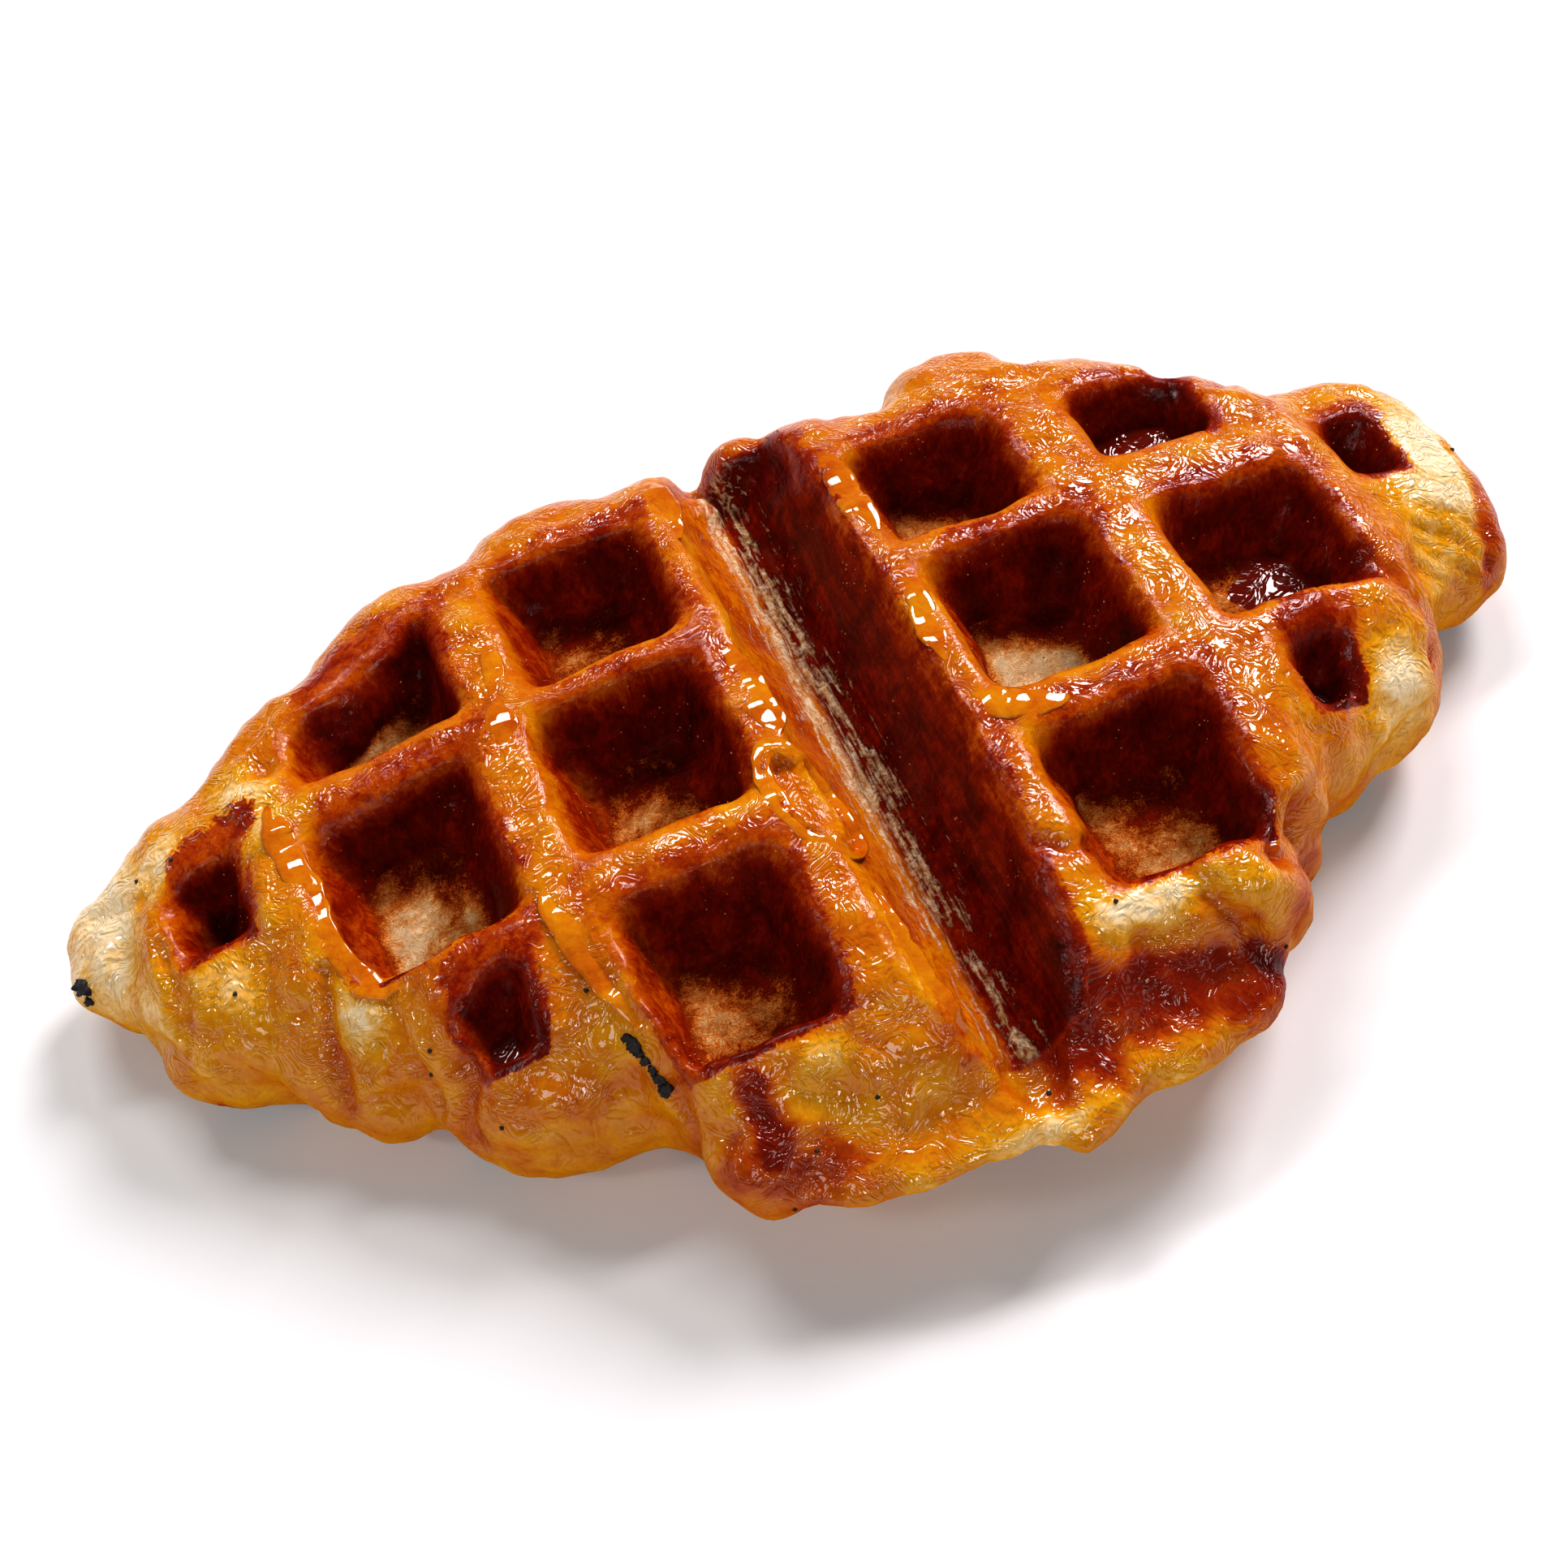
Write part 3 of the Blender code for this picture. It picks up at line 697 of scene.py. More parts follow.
BROWN_ROUTES = {  # half width in pitches, strength, route along, across and up in pitches
    "band under the lip": (0.3, 0.95, [(0.16, -1.34, 0.68), (0.34, -1.26, 0.76), (0.56, -1.29, 0.7)]),
    "band's right half": (0.24, 0.95, [(0.5, -1.28, 0.7), (0.8, -1.3, 0.68), (1.04, -1.39, 0.58)]),
    "stripe": (0.12, 1.05, [(-1.02, -1.05, 0.8), (-1.05, -1.27, 0.67)]),
    "foot of the stripe": (0.18, 0.62, [(-1.21, -1.24, 0.6), (-1.05, -1.36, 0.58), (-0.86, -1.36, 0.58)]),
    "right tip's edge": (0.12, 0.6, [
        (3.28, 0.84, 0.52), (3.26, 0.52, 0.52), (3.16, 0.25, 0.5), (3.05, 0.08, 0.42)]),
}
SPOT_DEPTH = 0.22  # half size of every such spot up and down, in pitches
STAIN_TEARS = [(0.0034, 61.0, 0.45), (0.0014, 67.0, 0.25)]  # size, seed, strength
PALEST = 0.32
BROWNEST = 0.38
SKIN_BAKED = 0.33
CROWNS_BAKED = 0.05
POOLED_BAKED = 0.08  # where the glaze gathered in the skin's hollows
# The creases are darker: partly browner crust, partly painted shade.
CREASE_BROWN_AND_SHADE = 0.20
FLAKE_PALER = 0.06
WALL_TOP = 0.58
WALL_FOOT = 0.25  # and so much more below
RIM_BAKED = 0.07  # the ribs' edges baked a little more than their crowns
LEFT_WALL_LIGHT = 0.20  # painted light: the walls that lean to the right face the light and are painted paler
LEFT_BANK_LIGHT = 0.16  # and the groove's left bank paler still, also painted light
LEAST_WALL = 0.37
BLISTER_BAKED = 0.46
FLOOR_IN_SHADE = 0.15  # painted light and shade: a well's floor is painted paler at its near and left side, where the light falls, and keeps only this share of its tone in the painted shade by its far and right walls
FLOOR_LIT_SIDES = (-0.45, -0.75)
GLAZED_LEAST = 0.10  # the brush hardly reached the sides that face down
DRY_WELLS = 0.50  # nor the wells
DRY_FLOORS = 0.92
DRY_BOTTOMS = 0.80  # least of all the foot of their walls
DRY_FAR = 0.55
DRY_GROOVE = 0.75
DRY_STAINS = 0.35
DRY_BLISTER = 0.60


def spots(points, table):
    """The strongest of a table's soft spots at every point."""
    strongest = np.zeros(len(points))
    for *middle, half_along, half_across, strength in table.values():
        off = (points - spot(middle)) / PITCH / (half_along, half_across, SPOT_DEPTH)
        strongest = np.maximum(strongest, strength * np.exp(-(off ** 2).sum(axis=1)))
    return strongest


def values_of(piece, name):
    values = np.empty(len(piece.data.vertices), np.float32)
    piece.data.attributes[name].data.foreach_get("value", values)
    return values.astype(float)


def stained(points, table):
    """The strongest of a table's ragged bands at every point."""
    strongest = np.zeros(len(points))
    torn = sum(grain(points, size, seed) * strength for size, seed, strength in STAIN_TEARS)
    for half_width, strength, route in table.values():
        near = 1 - distance_to_route(points, route) / (half_width * PITCH) + torn
        strongest = np.maximum(strongest, strength * fade(near, 0.0, 0.80))
    return strongest


points = read(crust)
marks = Marks(points)
contact = np.maximum(fade(marks.height, 0.72, 0.95), fade(1 - marks.height, 0.80, 0.97))
pale = spots(points, PALE_SPOTS) * (1 - marks.inside)
brown = np.maximum(spots(points, BROWN_SPOTS), stained(points, BROWN_ROUTES))
blister = values_of(crust, "blister")
pale_share = pale * (1 - np.minimum(brown, 1))
skin = SKIN_BAKED + CROWNS_BAKED * contact + RIM_BAKED * fade(marks.edge, -0.13, -0.03)
skin += POOLED_BAKED * values_of(crust, "pooled") + BROWNEST * brown - PALEST * pale_share
# Darker in the creases: browner crust and painted shade.
skin += CREASE_BROWN_AND_SHADE * values_of(crust, "crease") - FLAKE_PALER * values_of(crust, "flake")
skin += (BLISTER_BAKED - skin) * blister
walls = WALL_TOP + WALL_FOOT * fade(marks.depth, 0.02, 0.40)
# Painted light: walls facing right, towards the light, are painted paler, and the groove's left bank most
# of all.
walls -= LEFT_WALL_LIGHT * fade(-marks.side_u, 0.60, 0.95) * (1 - marks.groove)
walls -= (LEFT_BANK_LIGHT + LEFT_WALL_LIGHT) * fade(-marks.side_u, 0.10, 0.80) * marks.groove
walls = np.maximum(walls, LEAST_WALL)
# Painted light on each well's floor: paler towards its near and left side, with painted shade towards its
# far and right side.
lit_floor_side = fade(FLOOR_LIT_SIDES[0] * marks.side_u + FLOOR_LIT_SIDES[1] * marks.side_v, -0.80, 0.25)
lit_floor_side = FLOOR_IN_SHADE + (1 - FLOOR_IN_SHADE) * lit_floor_side
glazed = GLAZED_LEAST + (1 - GLAZED_LEAST) * fade(read(crust, "normal")[:, 2], -0.10, 0.80)
glazed *= (1 - DRY_WELLS * marks.inside) * (1 - DRY_BOTTOMS * fade(marks.depth, 0.60, 0.90))
glazed *= 1 - DRY_FAR * marks.inside * fade(marks.side_v, 0.50, 0.95)
glazed *= (1 - DRY_FLOORS * marks.floor) * (1 - DRY_GROOVE * marks.groove * marks.floor)
glazed *= (1 - DRY_STAINS * np.clip(brown, 0, 1)) * (1 - DRY_BLISTER * blister)
for name in ("crease", "flake", "pooled", "blister"):
    crust.data.attributes.remove(crust.data.attributes[name])
# The baked value carries the walls' and creases' painted light and shade too.
baked = skin * (1 - marks.inside) + walls * marks.inside
for name, values in {"skin_baked": skin, "walls_baked": walls, "baked": baked, "pale": pale_share,
                     "stained": brown}.items():
    add_values(crust, name, np.clip(values, 0, 1))
# The floor's value carries its tone and its painted light and shade.
for name, values in {"edge": marks.edge, "floor": marks.floor * marks.tone * lit_floor_side,
                     "inside": marks.inside, "groove": marks.groove, "glazed": glazed}.items():
    add_values(crust, name, values)


def shader_of(finish, constants):
    """A finish's node tree and its shader, with constants set on the shader's own sockets."""
    finish.use_nodes = True
    shader = finish.node_tree.nodes["Principled BSDF"]
    for socket, value in constants.items():
        shader.inputs[socket].default_value = value
    return Tree(finish.node_tree), shader


def ramp(tree, value, stops):
    """Colours or greys along a value from 0 to 1."""
    output = tree.add("ShaderNodeValToRGB", {0: value})
    band = output.node.color_ramp
    while len(band.elements) < len(stops):
        band.elements.new(1.0)
    for element, (position, colour) in zip(band.elements, stops):
        element.position = position
        element.color = (*colour, 1) if isinstance(colour, tuple) else (colour, colour, colour, 1)
    return output


def mix(tree, share, one, other):
    return tree.add("ShaderNodeMix", {0: share, 6: one, 7: other}, data_type="RGBA", out=2)


def centred(tree, value):
    return tree.math("SUBTRACT", value, 0.5)


def wrinkled(tree, value, folds):
    """Sharp folds where a smooth value climbs: so many of them from 0 to 1, each 0.5 high."""
    return tree.math("PINGPONG", tree.times(value, folds), 0.5)


def clamped(tree, value, most=1.0):
    return tree.math("MINIMUM", tree.math("MAXIMUM", value, 0.0), most)


def layered(tree, start, layers):
    """Layers laid over a value: each is a texture, where it lies, and how strong it is."""
    for texture, where, strength in layers:
        start = tree.scaled(tree.times(texture, where), strength, start)
    return start


CRUST_COLOURS = [  # from raw to burnt
    (0.00, (0.93, 0.71, 0.42)),
    (0.10, (0.84, 0.50, 0.15)),
    (0.20, (0.72, 0.315, 0.004)),
    (0.32, (0.63, 0.210, 0.002)),
    (0.43, (0.55, 0.130, 0.001)),
    (0.54, (0.42, 0.060, 0.001)),
    (0.66, (0.25, 0.014, 0.0006)),
    (0.82, (0.115, 0.004, 0.0005)),
    (1.00, (0.035, 0.002, 0.0005)),
]
FLOOR_COLOURS = [(0.12, (0.14, 0.010, 0.001)), (0.30, (0.40, 0.055, 0.005)), (0.48, (0.60, 0.17, 0.022)),
                 (0.66, (0.74, 0.36, 0.11)), (0.90, (0.90, 0.64, 0.36))]
FROTH_COLOURS = [(0.30, (0.40, 0.11, 0.015)), (0.44, (0.68, 0.37, 0.14)), (0.60, (0.95, 0.78, 0.55))]
PATCHES = (190.0, 5.0, 0.62, 0.6)  # each noise: scale a metre, detail, roughness, distortion
FRETTED = (700.0, 4.0, 0.65, 1.4)
STREAKS = (1300.0, 4.0, 0.65, 0.9)
SPECKLE = (1100.0, 6.0, 0.75, 1.5)
COMBED = (1500.0, 3.0, 0.6, 0.4)
RIPPLES = (470.0, 2.0, 0.5, 1.3)
SWIRL = (300.0, 1.5, 0.5, 1.6)
FINE = (2600.0, 3.0, 0.6)
STREAK_DRAWN = 0.3  # scale of the streaks down the walls, against 1 across them
COMB_DRAWN = 0.12  # and of the groove's lines along it
MOTTLE = 0.58
FINE_MOTTLE = 0.26
STREAK_MOTTLE = 0.40  # of the wells' walls
STAIN_CALM = 0.30  # a stain is less mottled
RAGGED = 0.17  # how far streaks of the dark walls run up over the ribs' edges, in pitches
WELL_FADE = [(0.24, 0.0), (0.42, 1.0)]  # from the ribs' colour to the walls'
FLOOR_FADE = [(0.10, 0.0), (0.34, 1.0)]
FROTH_FADE = [(0.34, 0.0), (0.78, 0.88)]
FROTH_LINES = [  # along, half width, strength at the far and at the near end
    (-0.09, 0.060, 0.95, 0.45),
    (0.015, 0.045, 0.75, 0.90),
    (-0.035, 0.14, 0.66, 0.40),
]
FROTH_WAVER = 0.0016
FROTH_LEAST = 0.12

shade, shader = shader_of(crust_finish, {
    "Specular IOR Level": 0.0, "Coat Roughness": 0.04, "Coat IOR": 1.58})
here = shade.add("ShaderNodeTexCoord", out=3)
x, y, z = shade.parts(here)
names = ("skin_baked", "walls_baked", "edge", "floor", "inside", "groove", "pale", "stained", "glazed")
baked_and_shaded_skin, baked_and_lit_walls, edge, floor_tone_and_light, inside, groove, pale_skin, stain, glazed_skin = (
    shade.add("ShaderNodeAttribute", attribute_name=name, out=2) for name in names)
down_walls = shade.add("ShaderNodeCombineXYZ", {0: x, 1: y, 2: shade.times(z, STREAK_DRAWN)})
along_groove = shade.add("ShaderNodeCombineXYZ", {0: x, 1: shade.times(y, COMB_DRAWN), 2: z})
patches, fretted, speckle = (shade.noise(here, *sizes) for sizes in (PATCHES, FRETTED, SPECKLE))
streaks = shade.noise(down_walls, *STREAKS)
combed = shade.noise(along_groove, *COMBED)
patchy, fretty, speckly, streaky, comby = (
    centred(shade, value) for value in (patches, fretted, speckle, streaks, combed))
ragged = layered(shade, edge, [(streaky, 1.0, RAGGED), (patchy, 1.0, RAGGED)])
in_well = ramp(shade, shade.scaled(ragged, 5.0, 0.5), WELL_FADE)
calm = shade.scaled(stain, -STAIN_CALM, 1.0)
# The skin's and walls' values carry painted light and shade as well as how far they baked.
baking = layered(shade, mix(shade, in_well, baked_and_shaded_skin, baked_and_lit_walls), [
    (patchy, calm, MOTTLE), (fretty, calm, FINE_MOTTLE), (streaky, inside, STREAK_MOTTLE),
    (comby, groove, STREAK_MOTTLE)])
curls = wrinkled(shade, fretted, 9.0)
frayed = layered(shade, floor_tone_and_light, [
    (streaky, 1.0, 0.6), (patchy, 1.0, 1.5), (speckly, 1.0, 0.25),
    (shade.math("SUBTRACT", curls, 0.25), 1.0, 0.55)])
# The pale floors follow the floor's tone and its painted light and shade.
pale_floor = shade.times(ramp(shade, frayed, FLOOR_FADE), inside)
pale_floor = shade.times(pale_floor, shade.math("GREATER_THAN", floor_tone_and_light, 0.02))
colour = mix(shade, pale_floor, ramp(shade, baking, CRUST_COLOURS), ramp(shade, frayed, FLOOR_COLOURS))
nearer = clamped(shade, shade.scaled(y, -1 / PITCH, -CENTRE_V))
froth = 0.0
for line, half_width, far, near_end in FROTH_LINES:
    off = shade.math("SUBTRACT", x, (line - CENTRE_U) * PITCH)
    off = shade.math("DIVIDE", shade.scaled(patchy, FROTH_WAVER, off), half_width * PITCH)
    near = shade.math("EXPONENT", shade.times(shade.times(off, off), -1.0))
    froth = shade.math("MAXIMUM", froth, shade.times(near, shade.scaled(nearer, near_end - far, far)))
broken = layered(shade, shade.times(froth, 0.72), [
    (speckly, 1.0, 0.4), (comby, 1.0, 2.0), (fretty, 1.0, 0.8), (patchy, 1.0, 0.8)])
froth = shade.times(ramp(shade, broken, FROTH_FADE), shade.math("GREATER_THAN", froth, FROTH_LEAST))
froth = shade.times(shade.times(froth, groove), shade.math("GREATER_THAN", z, SHOWN_LEVEL))
colour = mix(shade, froth, colour, ramp(shade, speckle, FROTH_COLOURS))
shade.link(colour, shader.inputs["Base Color"])

# The skin's fine relief: runny ripples of set glaze, streaks down the walls, fibrous floors, and
# folds GATHER_SIZE apart where the pale skin has gathered. Heights are in metres.
GATHER_SIZE = 0.0013
GATHER_SLANT = 0.35
GATHER_WAVER = 0.0050
ripples, swirl, fine = (shade.noise(here, *sizes) for sizes in (RIPPLES, SWIRL, FINE))
wrinkles = wrinkled(shade, swirl, 7.0)
gathers = shade.scaled(centred(shade, swirl), GATHER_WAVER, shade.scaled(x, GATHER_SLANT, y))
gathers = shade.math("SINE", shade.times(gathers, 2 * math.pi / GATHER_SIZE))
open_skin = shade.math("SUBTRACT", 1.0, inside)
height = shade.scaled(fine, 0.00004, shade.times(ripples, shade.scaled(open_skin, 0.00024, 0.00010)))
height = layered(shade, height, [
    (wrinkles, open_skin, 0.00013), (wrinkles, pale_skin, 0.00006), (gathers, pale_skin, 0.00006),
    (streaks, inside, 0.00012), (combed, groove, 0.00016), (curls, pale_floor, 0.00012),
    (speckle, pale_floor, 0.00004), (speckle, froth, 0.00012)])
shade.link(shade.bump(height), shader.inputs["Normal"])
coat_height = layered(shade, shade.times(ripples, 0.00015), [
    (wrinkles, open_skin, 0.00013), (gathers, pale_skin, 0.00005), (streaks, inside, 0.00010),
    (combed, groove, 0.00012), (curls, pale_floor, 0.00010), (speckle, froth, 0.00010)])
shade.link(shade.bump(coat_height), shader.inputs["Coat Normal"])
shade.link(shade.scaled(pale_floor, 0.12, 0.36), shader.inputs["Roughness"])
shade.link(shade.times(shade.scaled(pale_floor, -0.35, 0.85), glazed_skin), shader.inputs["Coat Weight"])

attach(crust, "root")
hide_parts("croffle")

# THE GLAZE. Sugar syrup brushed on hot: it has set as a rim round the burst bubble, as strands
# and drips that lie over the ribs, and as dark puddles in some of the wells.
RUNS = {  # whether closed, and the route: along and across in pitches, width in mm
    "bubble rim": (True, [
        (-0.455, 0.21, 0.44), (-0.36, 0.15, 0.4), (-0.295, 0.02, 0.42), (-0.265, -0.16, 0.44),
        (-0.275, -0.3, 0.5), (-0.345, -0.36, 0.52), (-0.425, -0.28, 0.46), (-0.49, -0.12, 0.44),
        (-0.515, 0.06, 0.44)]),
    "crown left of groove": (False, [
        (-0.4, 0.86, 0.25), (-0.385, 0.66, 0.6), (-0.385, 0.48, 0.75), (-0.37, 0.34, 0.6),
        (-0.4, 0.24, 0.3)]),
    "crown left, near": (False, [
        (-0.31, -0.58, 0.25), (-0.31, -0.76, 0.5), (-0.29, -0.95, 0.55), (-0.24, -1.12, 0.5),
        (-0.15, -1.27, 0.3)]),
    "far end, left": (False, [
        (-0.37, 1.98, 0.3), (-0.36, 1.86, 0.8), (-0.35, 1.7, 0.8), (-0.36, 1.52, 0.35)]),
    "crossing": (False, [
        (0.44, 0.1, 0.35), (0.5, 0.0, 0.85), (0.6, -0.05, 0.85), (0.72, -0.08, 0.5), (0.8, -0.07, 0.25)]),
    "crossing drip": (False, [(0.585, -0.05, 0.6), (0.59, -0.13, 0.4), (0.598, -0.19, 0.25)]),
    "right crown": (False, [
        (0.44, 1.72, 0.3), (0.435, 1.54, 0.7), (0.43, 1.38, 0.75), (0.43, 1.25, 0.8),
        (0.445, 1.12, 0.35)]),
    "right crown, middle": (False, [
        (0.45, 0.78, 0.3), (0.435, 0.62, 0.6), (0.42, 0.46, 0.6), (0.425, 0.3, 0.3)]),
    "left well's lip": (False, [(-1.335, 1.3, 0.3), (-1.345, 1.16, 0.55), (-1.38, 1.02, 0.3)]),
    "left crossing": (False, [(-1.36, 0.98, 0.35), (-1.4, 0.86, 0.8), (-1.41, 0.74, 0.35)]),
    "second row's lip": (False, [
        (-2.43, 0.98, 0.3), (-2.44, 0.82, 0.65), (-2.41, 0.62, 0.7), (-2.37, 0.44, 0.55),
        (-2.36, 0.24, 0.45), (-2.28, 0.02, 0.6), (-2.16, -0.04, 0.35)]),
    "near rib": (False, [
        (-1.49, 0.02, 0.25), (-1.48, -0.1, 0.55), (-1.45, -0.25, 0.75), (-1.4, -0.42, 0.75),
        (-1.36, -0.56, 0.5), (-1.33, -0.66, 0.25)]),
}
RUN_LIFT = -0.00013  # the strand's middle lies just below the crust's face
RUN_SPREAD = 2.1  # a strand has flowed out to this many times its routed width
RUN_WAVER = 0.00080
RUN_STEP = 0.00035
RUN_SIDES = 12
WAVER_SCALE = 380.0
BEADING_SCALE = 420.0  # a strand swells and thins:
BEADING = (0.9, 0.60)  # factor and start of its width from noise
RUN_FLATNESS = 0.16
RUN_BAKED = 0.40  # as the crust's colours say
RUN_SKIN = (900.0, 2.0, 0.5, 1.0)
RUN_SKIN_HEIGHT = 0.00012


def run_points():
    """The routes as edges, seen from above, with the strand's half width at each point."""
    builder = bmesh.new()
    widths = []
    for closed, route in RUNS.values():
        verts = [builder.verts.new(spot((along, across, 0))) for along, across, _ in route]
        widths += [RUN_SPREAD * width / 1000 for _, _, width in route]
        for one, other in zip(verts, verts[1:] + (verts[:1] if closed else [])):
            builder.edges.new((one, other))
    points = new_piece("glaze_runs", builder)
    add_values(points, "half_width", widths)
    return points


def glaze_runs_tree():
    """Strands of syrup that follow their routes over the crust below them."""
    tree, given, result = geometry_tree("glaze runs", {
        "Crust": "Object", "Lift": RUN_LIFT, "Waver": RUN_WAVER, "Step": RUN_STEP, "Sides": RUN_SIDES,
        "Flatness": RUN_FLATNESS, "Glaze": "Material"})
    curve = tree.geometry("MeshToCurve", {"Mesh": given["Geometry"]})
    curve = tree.geometry("CurveSplineType", {"Curve": curve}, spline_type="CATMULL_ROM")
    curve = tree.geometry("ResampleCurve", {"Curve": curve, "Length": given["Step"]}, mode="LENGTH")
    at = tree.geometry("InputPosition")
    wave = tree.add("ShaderNodeTexNoise", {"Vector": at, "Scale": WAVER_SCALE, "Detail": 2.0}, out=1)
    waver = tree.vector("MULTIPLY", tree.vector("SUBTRACT", wave, (0.5, 0.5, 0.5)), (1.0, 1.0, 0.0))
    waver = tree.add("ShaderNodeVectorMath", {0: waver, "Scale": given["Waver"]}, operation="SCALE")
    curve = tree.geometry("SetPosition", {"Geometry": curve, "Offset": waver})
    crust_mesh = tree.geometry("ObjectInfo", {"Object": given["Crust"]}, out=4)
    high = tree.vector("ADD", at, (0.0, 0.0, 2 * THICKNESS))
    cast = tree.geometry("Raycast", {
        "Target Geometry": crust_mesh, "Source Position": high, "Ray Direction": (0.0, 0.0, -1.0),
        "Ray Length": 1.0}, out="Hit Position")
    spots = tree.vector("ADD", cast, tree.add("ShaderNodeCombineXYZ", {2: given["Lift"]}))
    curve = tree.geometry("SetPosition", {"Geometry": curve, "Position": spots})
    beading = tree.noise(at, BEADING_SCALE, 1.0)
    radius = tree.times(tree.named("half_width"), tree.scaled(beading, *BEADING))
    curve = tree.geometry("SetCurveNormal", {"Curve": curve}, mode="Z_UP")
    ring = tree.geometry("CurvePrimitiveCircle", {"Resolution": given["Sides"], "Radius": 1.0})
    squash = tree.add("ShaderNodeCombineXYZ", {0: 1.0, 1: given["Flatness"], 2: 1.0})
    ring = tree.geometry("Transform", {"Geometry": ring, "Scale": squash})
    run = tree.geometry("CurveToMesh", {
        "Curve": curve, "Profile Curve": ring, "Scale": radius, "Fill Caps": True})
    tree.finish(tree.geometry("SetShadeSmooth", {"Geometry": run}), given["Glaze"], result)
    return tree


glaze_finish = bpy.data.materials.new("set_glaze")
shade, shader = shader_of(glaze_finish, {
    "Roughness": 0.30, "Specular IOR Level": 0.0, "Coat Weight": 1.0, "Coat Roughness": 0.03})
here = shade.add("ShaderNodeTexCoord", out=3)
patchy, fretty = (centred(shade, shade.noise(here, *sizes)) for sizes in (PATCHES, FRETTED))
baking = layered(shade, RUN_BAKED, [(patchy, 1.0, MOTTLE), (fretty, 1.0, FINE_MOTTLE)])
shade.link(ramp(shade, baking, CRUST_COLOURS), shader.inputs["Base Color"])
skin = shade.bump(shade.times(shade.noise(here, *RUN_SKIN), RUN_SKIN_HEIGHT))
shade.link(skin, shader.inputs["Normal"])

glaze_runs = run_points()
run_tree(glaze_runs, glaze_runs_tree(), {"Crust": crust, "Glaze": glaze_finish})
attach(glaze_runs, "root")
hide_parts("croffle")

PUDDLES = {  # along, across, half sizes along and across in pitches
    "far well": (1.86, 1.32, 0.27, 0.20),
    "second well": (2.02, 0.38, 0.25, 0.22),
    "near pit, right": (1.88, -0.33, 0.12, 0.13),
    "near pit, left": (-1.88, -0.42, 0.13, 0.14),
}
PUDDLE_DEPTH = 0.0012  # half the drop's height, most of it below the floor
PUDDLE_SUNK = 0.0007
PUDDLE_WAVES = 0.00024
PUDDLE_WAVE_SCALE = 380
PUDDLE_EDGE = 0.25  # how uneven a drop's edge is
PUDDLE_EDGE_SCALE = 1.7
PUDDLE_SEED = 400  # times its middle
PUDDLE_RINGS = 5  # of subdivision
SYRUP_SWIRL = (260.0, 1.5, 0.5, 1.8)
SYRUP_FOLDS = 3.5
SYRUP_FOLD_HEIGHT = 0.00020


crust_skin = BVHTree.FromPolygons([vert.co for vert in crust.data.vertices],
                                  [tuple(face.vertices) for face in crust.data.polygons])


def crust_below(along, across):
    """The shown face of the crust, seen straight from above."""
    above = Vector(spot((along, across, 0))) + Vector((0, 0, 2 * THICKNESS))
    return crust_skin.ray_cast(above, Vector((0, 0, -1)))[0]


def add_puddle(builder, along, across, half_along, half_across):
    """A flat drop of syrup whose edge runs into the well's walls."""
    ball = bmesh.ops.create_icosphere(builder, subdivisions=PUDDLE_RINGS, radius=1.0)
    middle = crust_below(along, across) - Vector((0, 0, PUDDLE_SUNK))
    for vert in ball["verts"]:
        flat = math.copysign(abs(vert.co.z) ** 0.5, vert.co.z)
        edge = 1 + PUDDLE_EDGE * noise.noise(vert.co * PUDDLE_EDGE_SCALE + middle * PUDDLE_SEED)
        off = Vector((vert.co.x * half_along * PITCH * edge, vert.co.y * half_across * PITCH * edge,
                      flat * PUDDLE_DEPTH))
        vert.co = middle + off
        vert.co.z += PUDDLE_WAVES * noise.noise(vert.co * PUDDLE_WAVE_SCALE)


syrup_finish = bpy.data.materials.new("dark_syrup")
shade, shader = shader_of(syrup_finish, {
    "Base Color": (0.13, 0.007, 0.001, 1), "Roughness": 0.30, "Specular IOR Level": 0.0,
    "Coat Weight": 1.0, "Coat Roughness": 0.02})
here = shade.add("ShaderNodeTexCoord", out=3)
skin = wrinkled(shade, shade.noise(here, *SYRUP_SWIRL), SYRUP_FOLDS)
skin = shade.bump(shade.times(skin, SYRUP_FOLD_HEIGHT))
for socket in ("Normal", "Coat Normal"):
    shade.link(skin, shader.inputs[socket])

puddle_builder = bmesh.new()
for sizes in PUDDLES.values():
    add_puddle(puddle_builder, *sizes)
puddles = new_piece("syrup_puddles", puddle_builder)
puddles.data.materials.append(syrup_finish)
puddles.data.shade_smooth()
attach(puddles, "root")
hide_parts("croffle")

# THE SUGAR BEADS. Fine drops of glaze that frothed while it set, hardly more than specks: they
# lie thickest on the ribs and walls of the shown face and catch the light.
BEADS_PER_SQUARE_METRE = 500000.0
BEAD_RADIUS = 0.00005
BEAD_RADIUS_MOST = 0.00014
BEAD_SEED = 7
CLUMP_SCALE = 160.0
CLUMPING = (7.0, -3.7)  # factor and start of their share from noise: none on half the crust
ON_BROWN = (6.0, -1.9)  # and from how far the crust has baked
SHOWN_WALLS = 40.0  # upright walls have beads too, but only high up
SHOWN_LEAST = 0.55


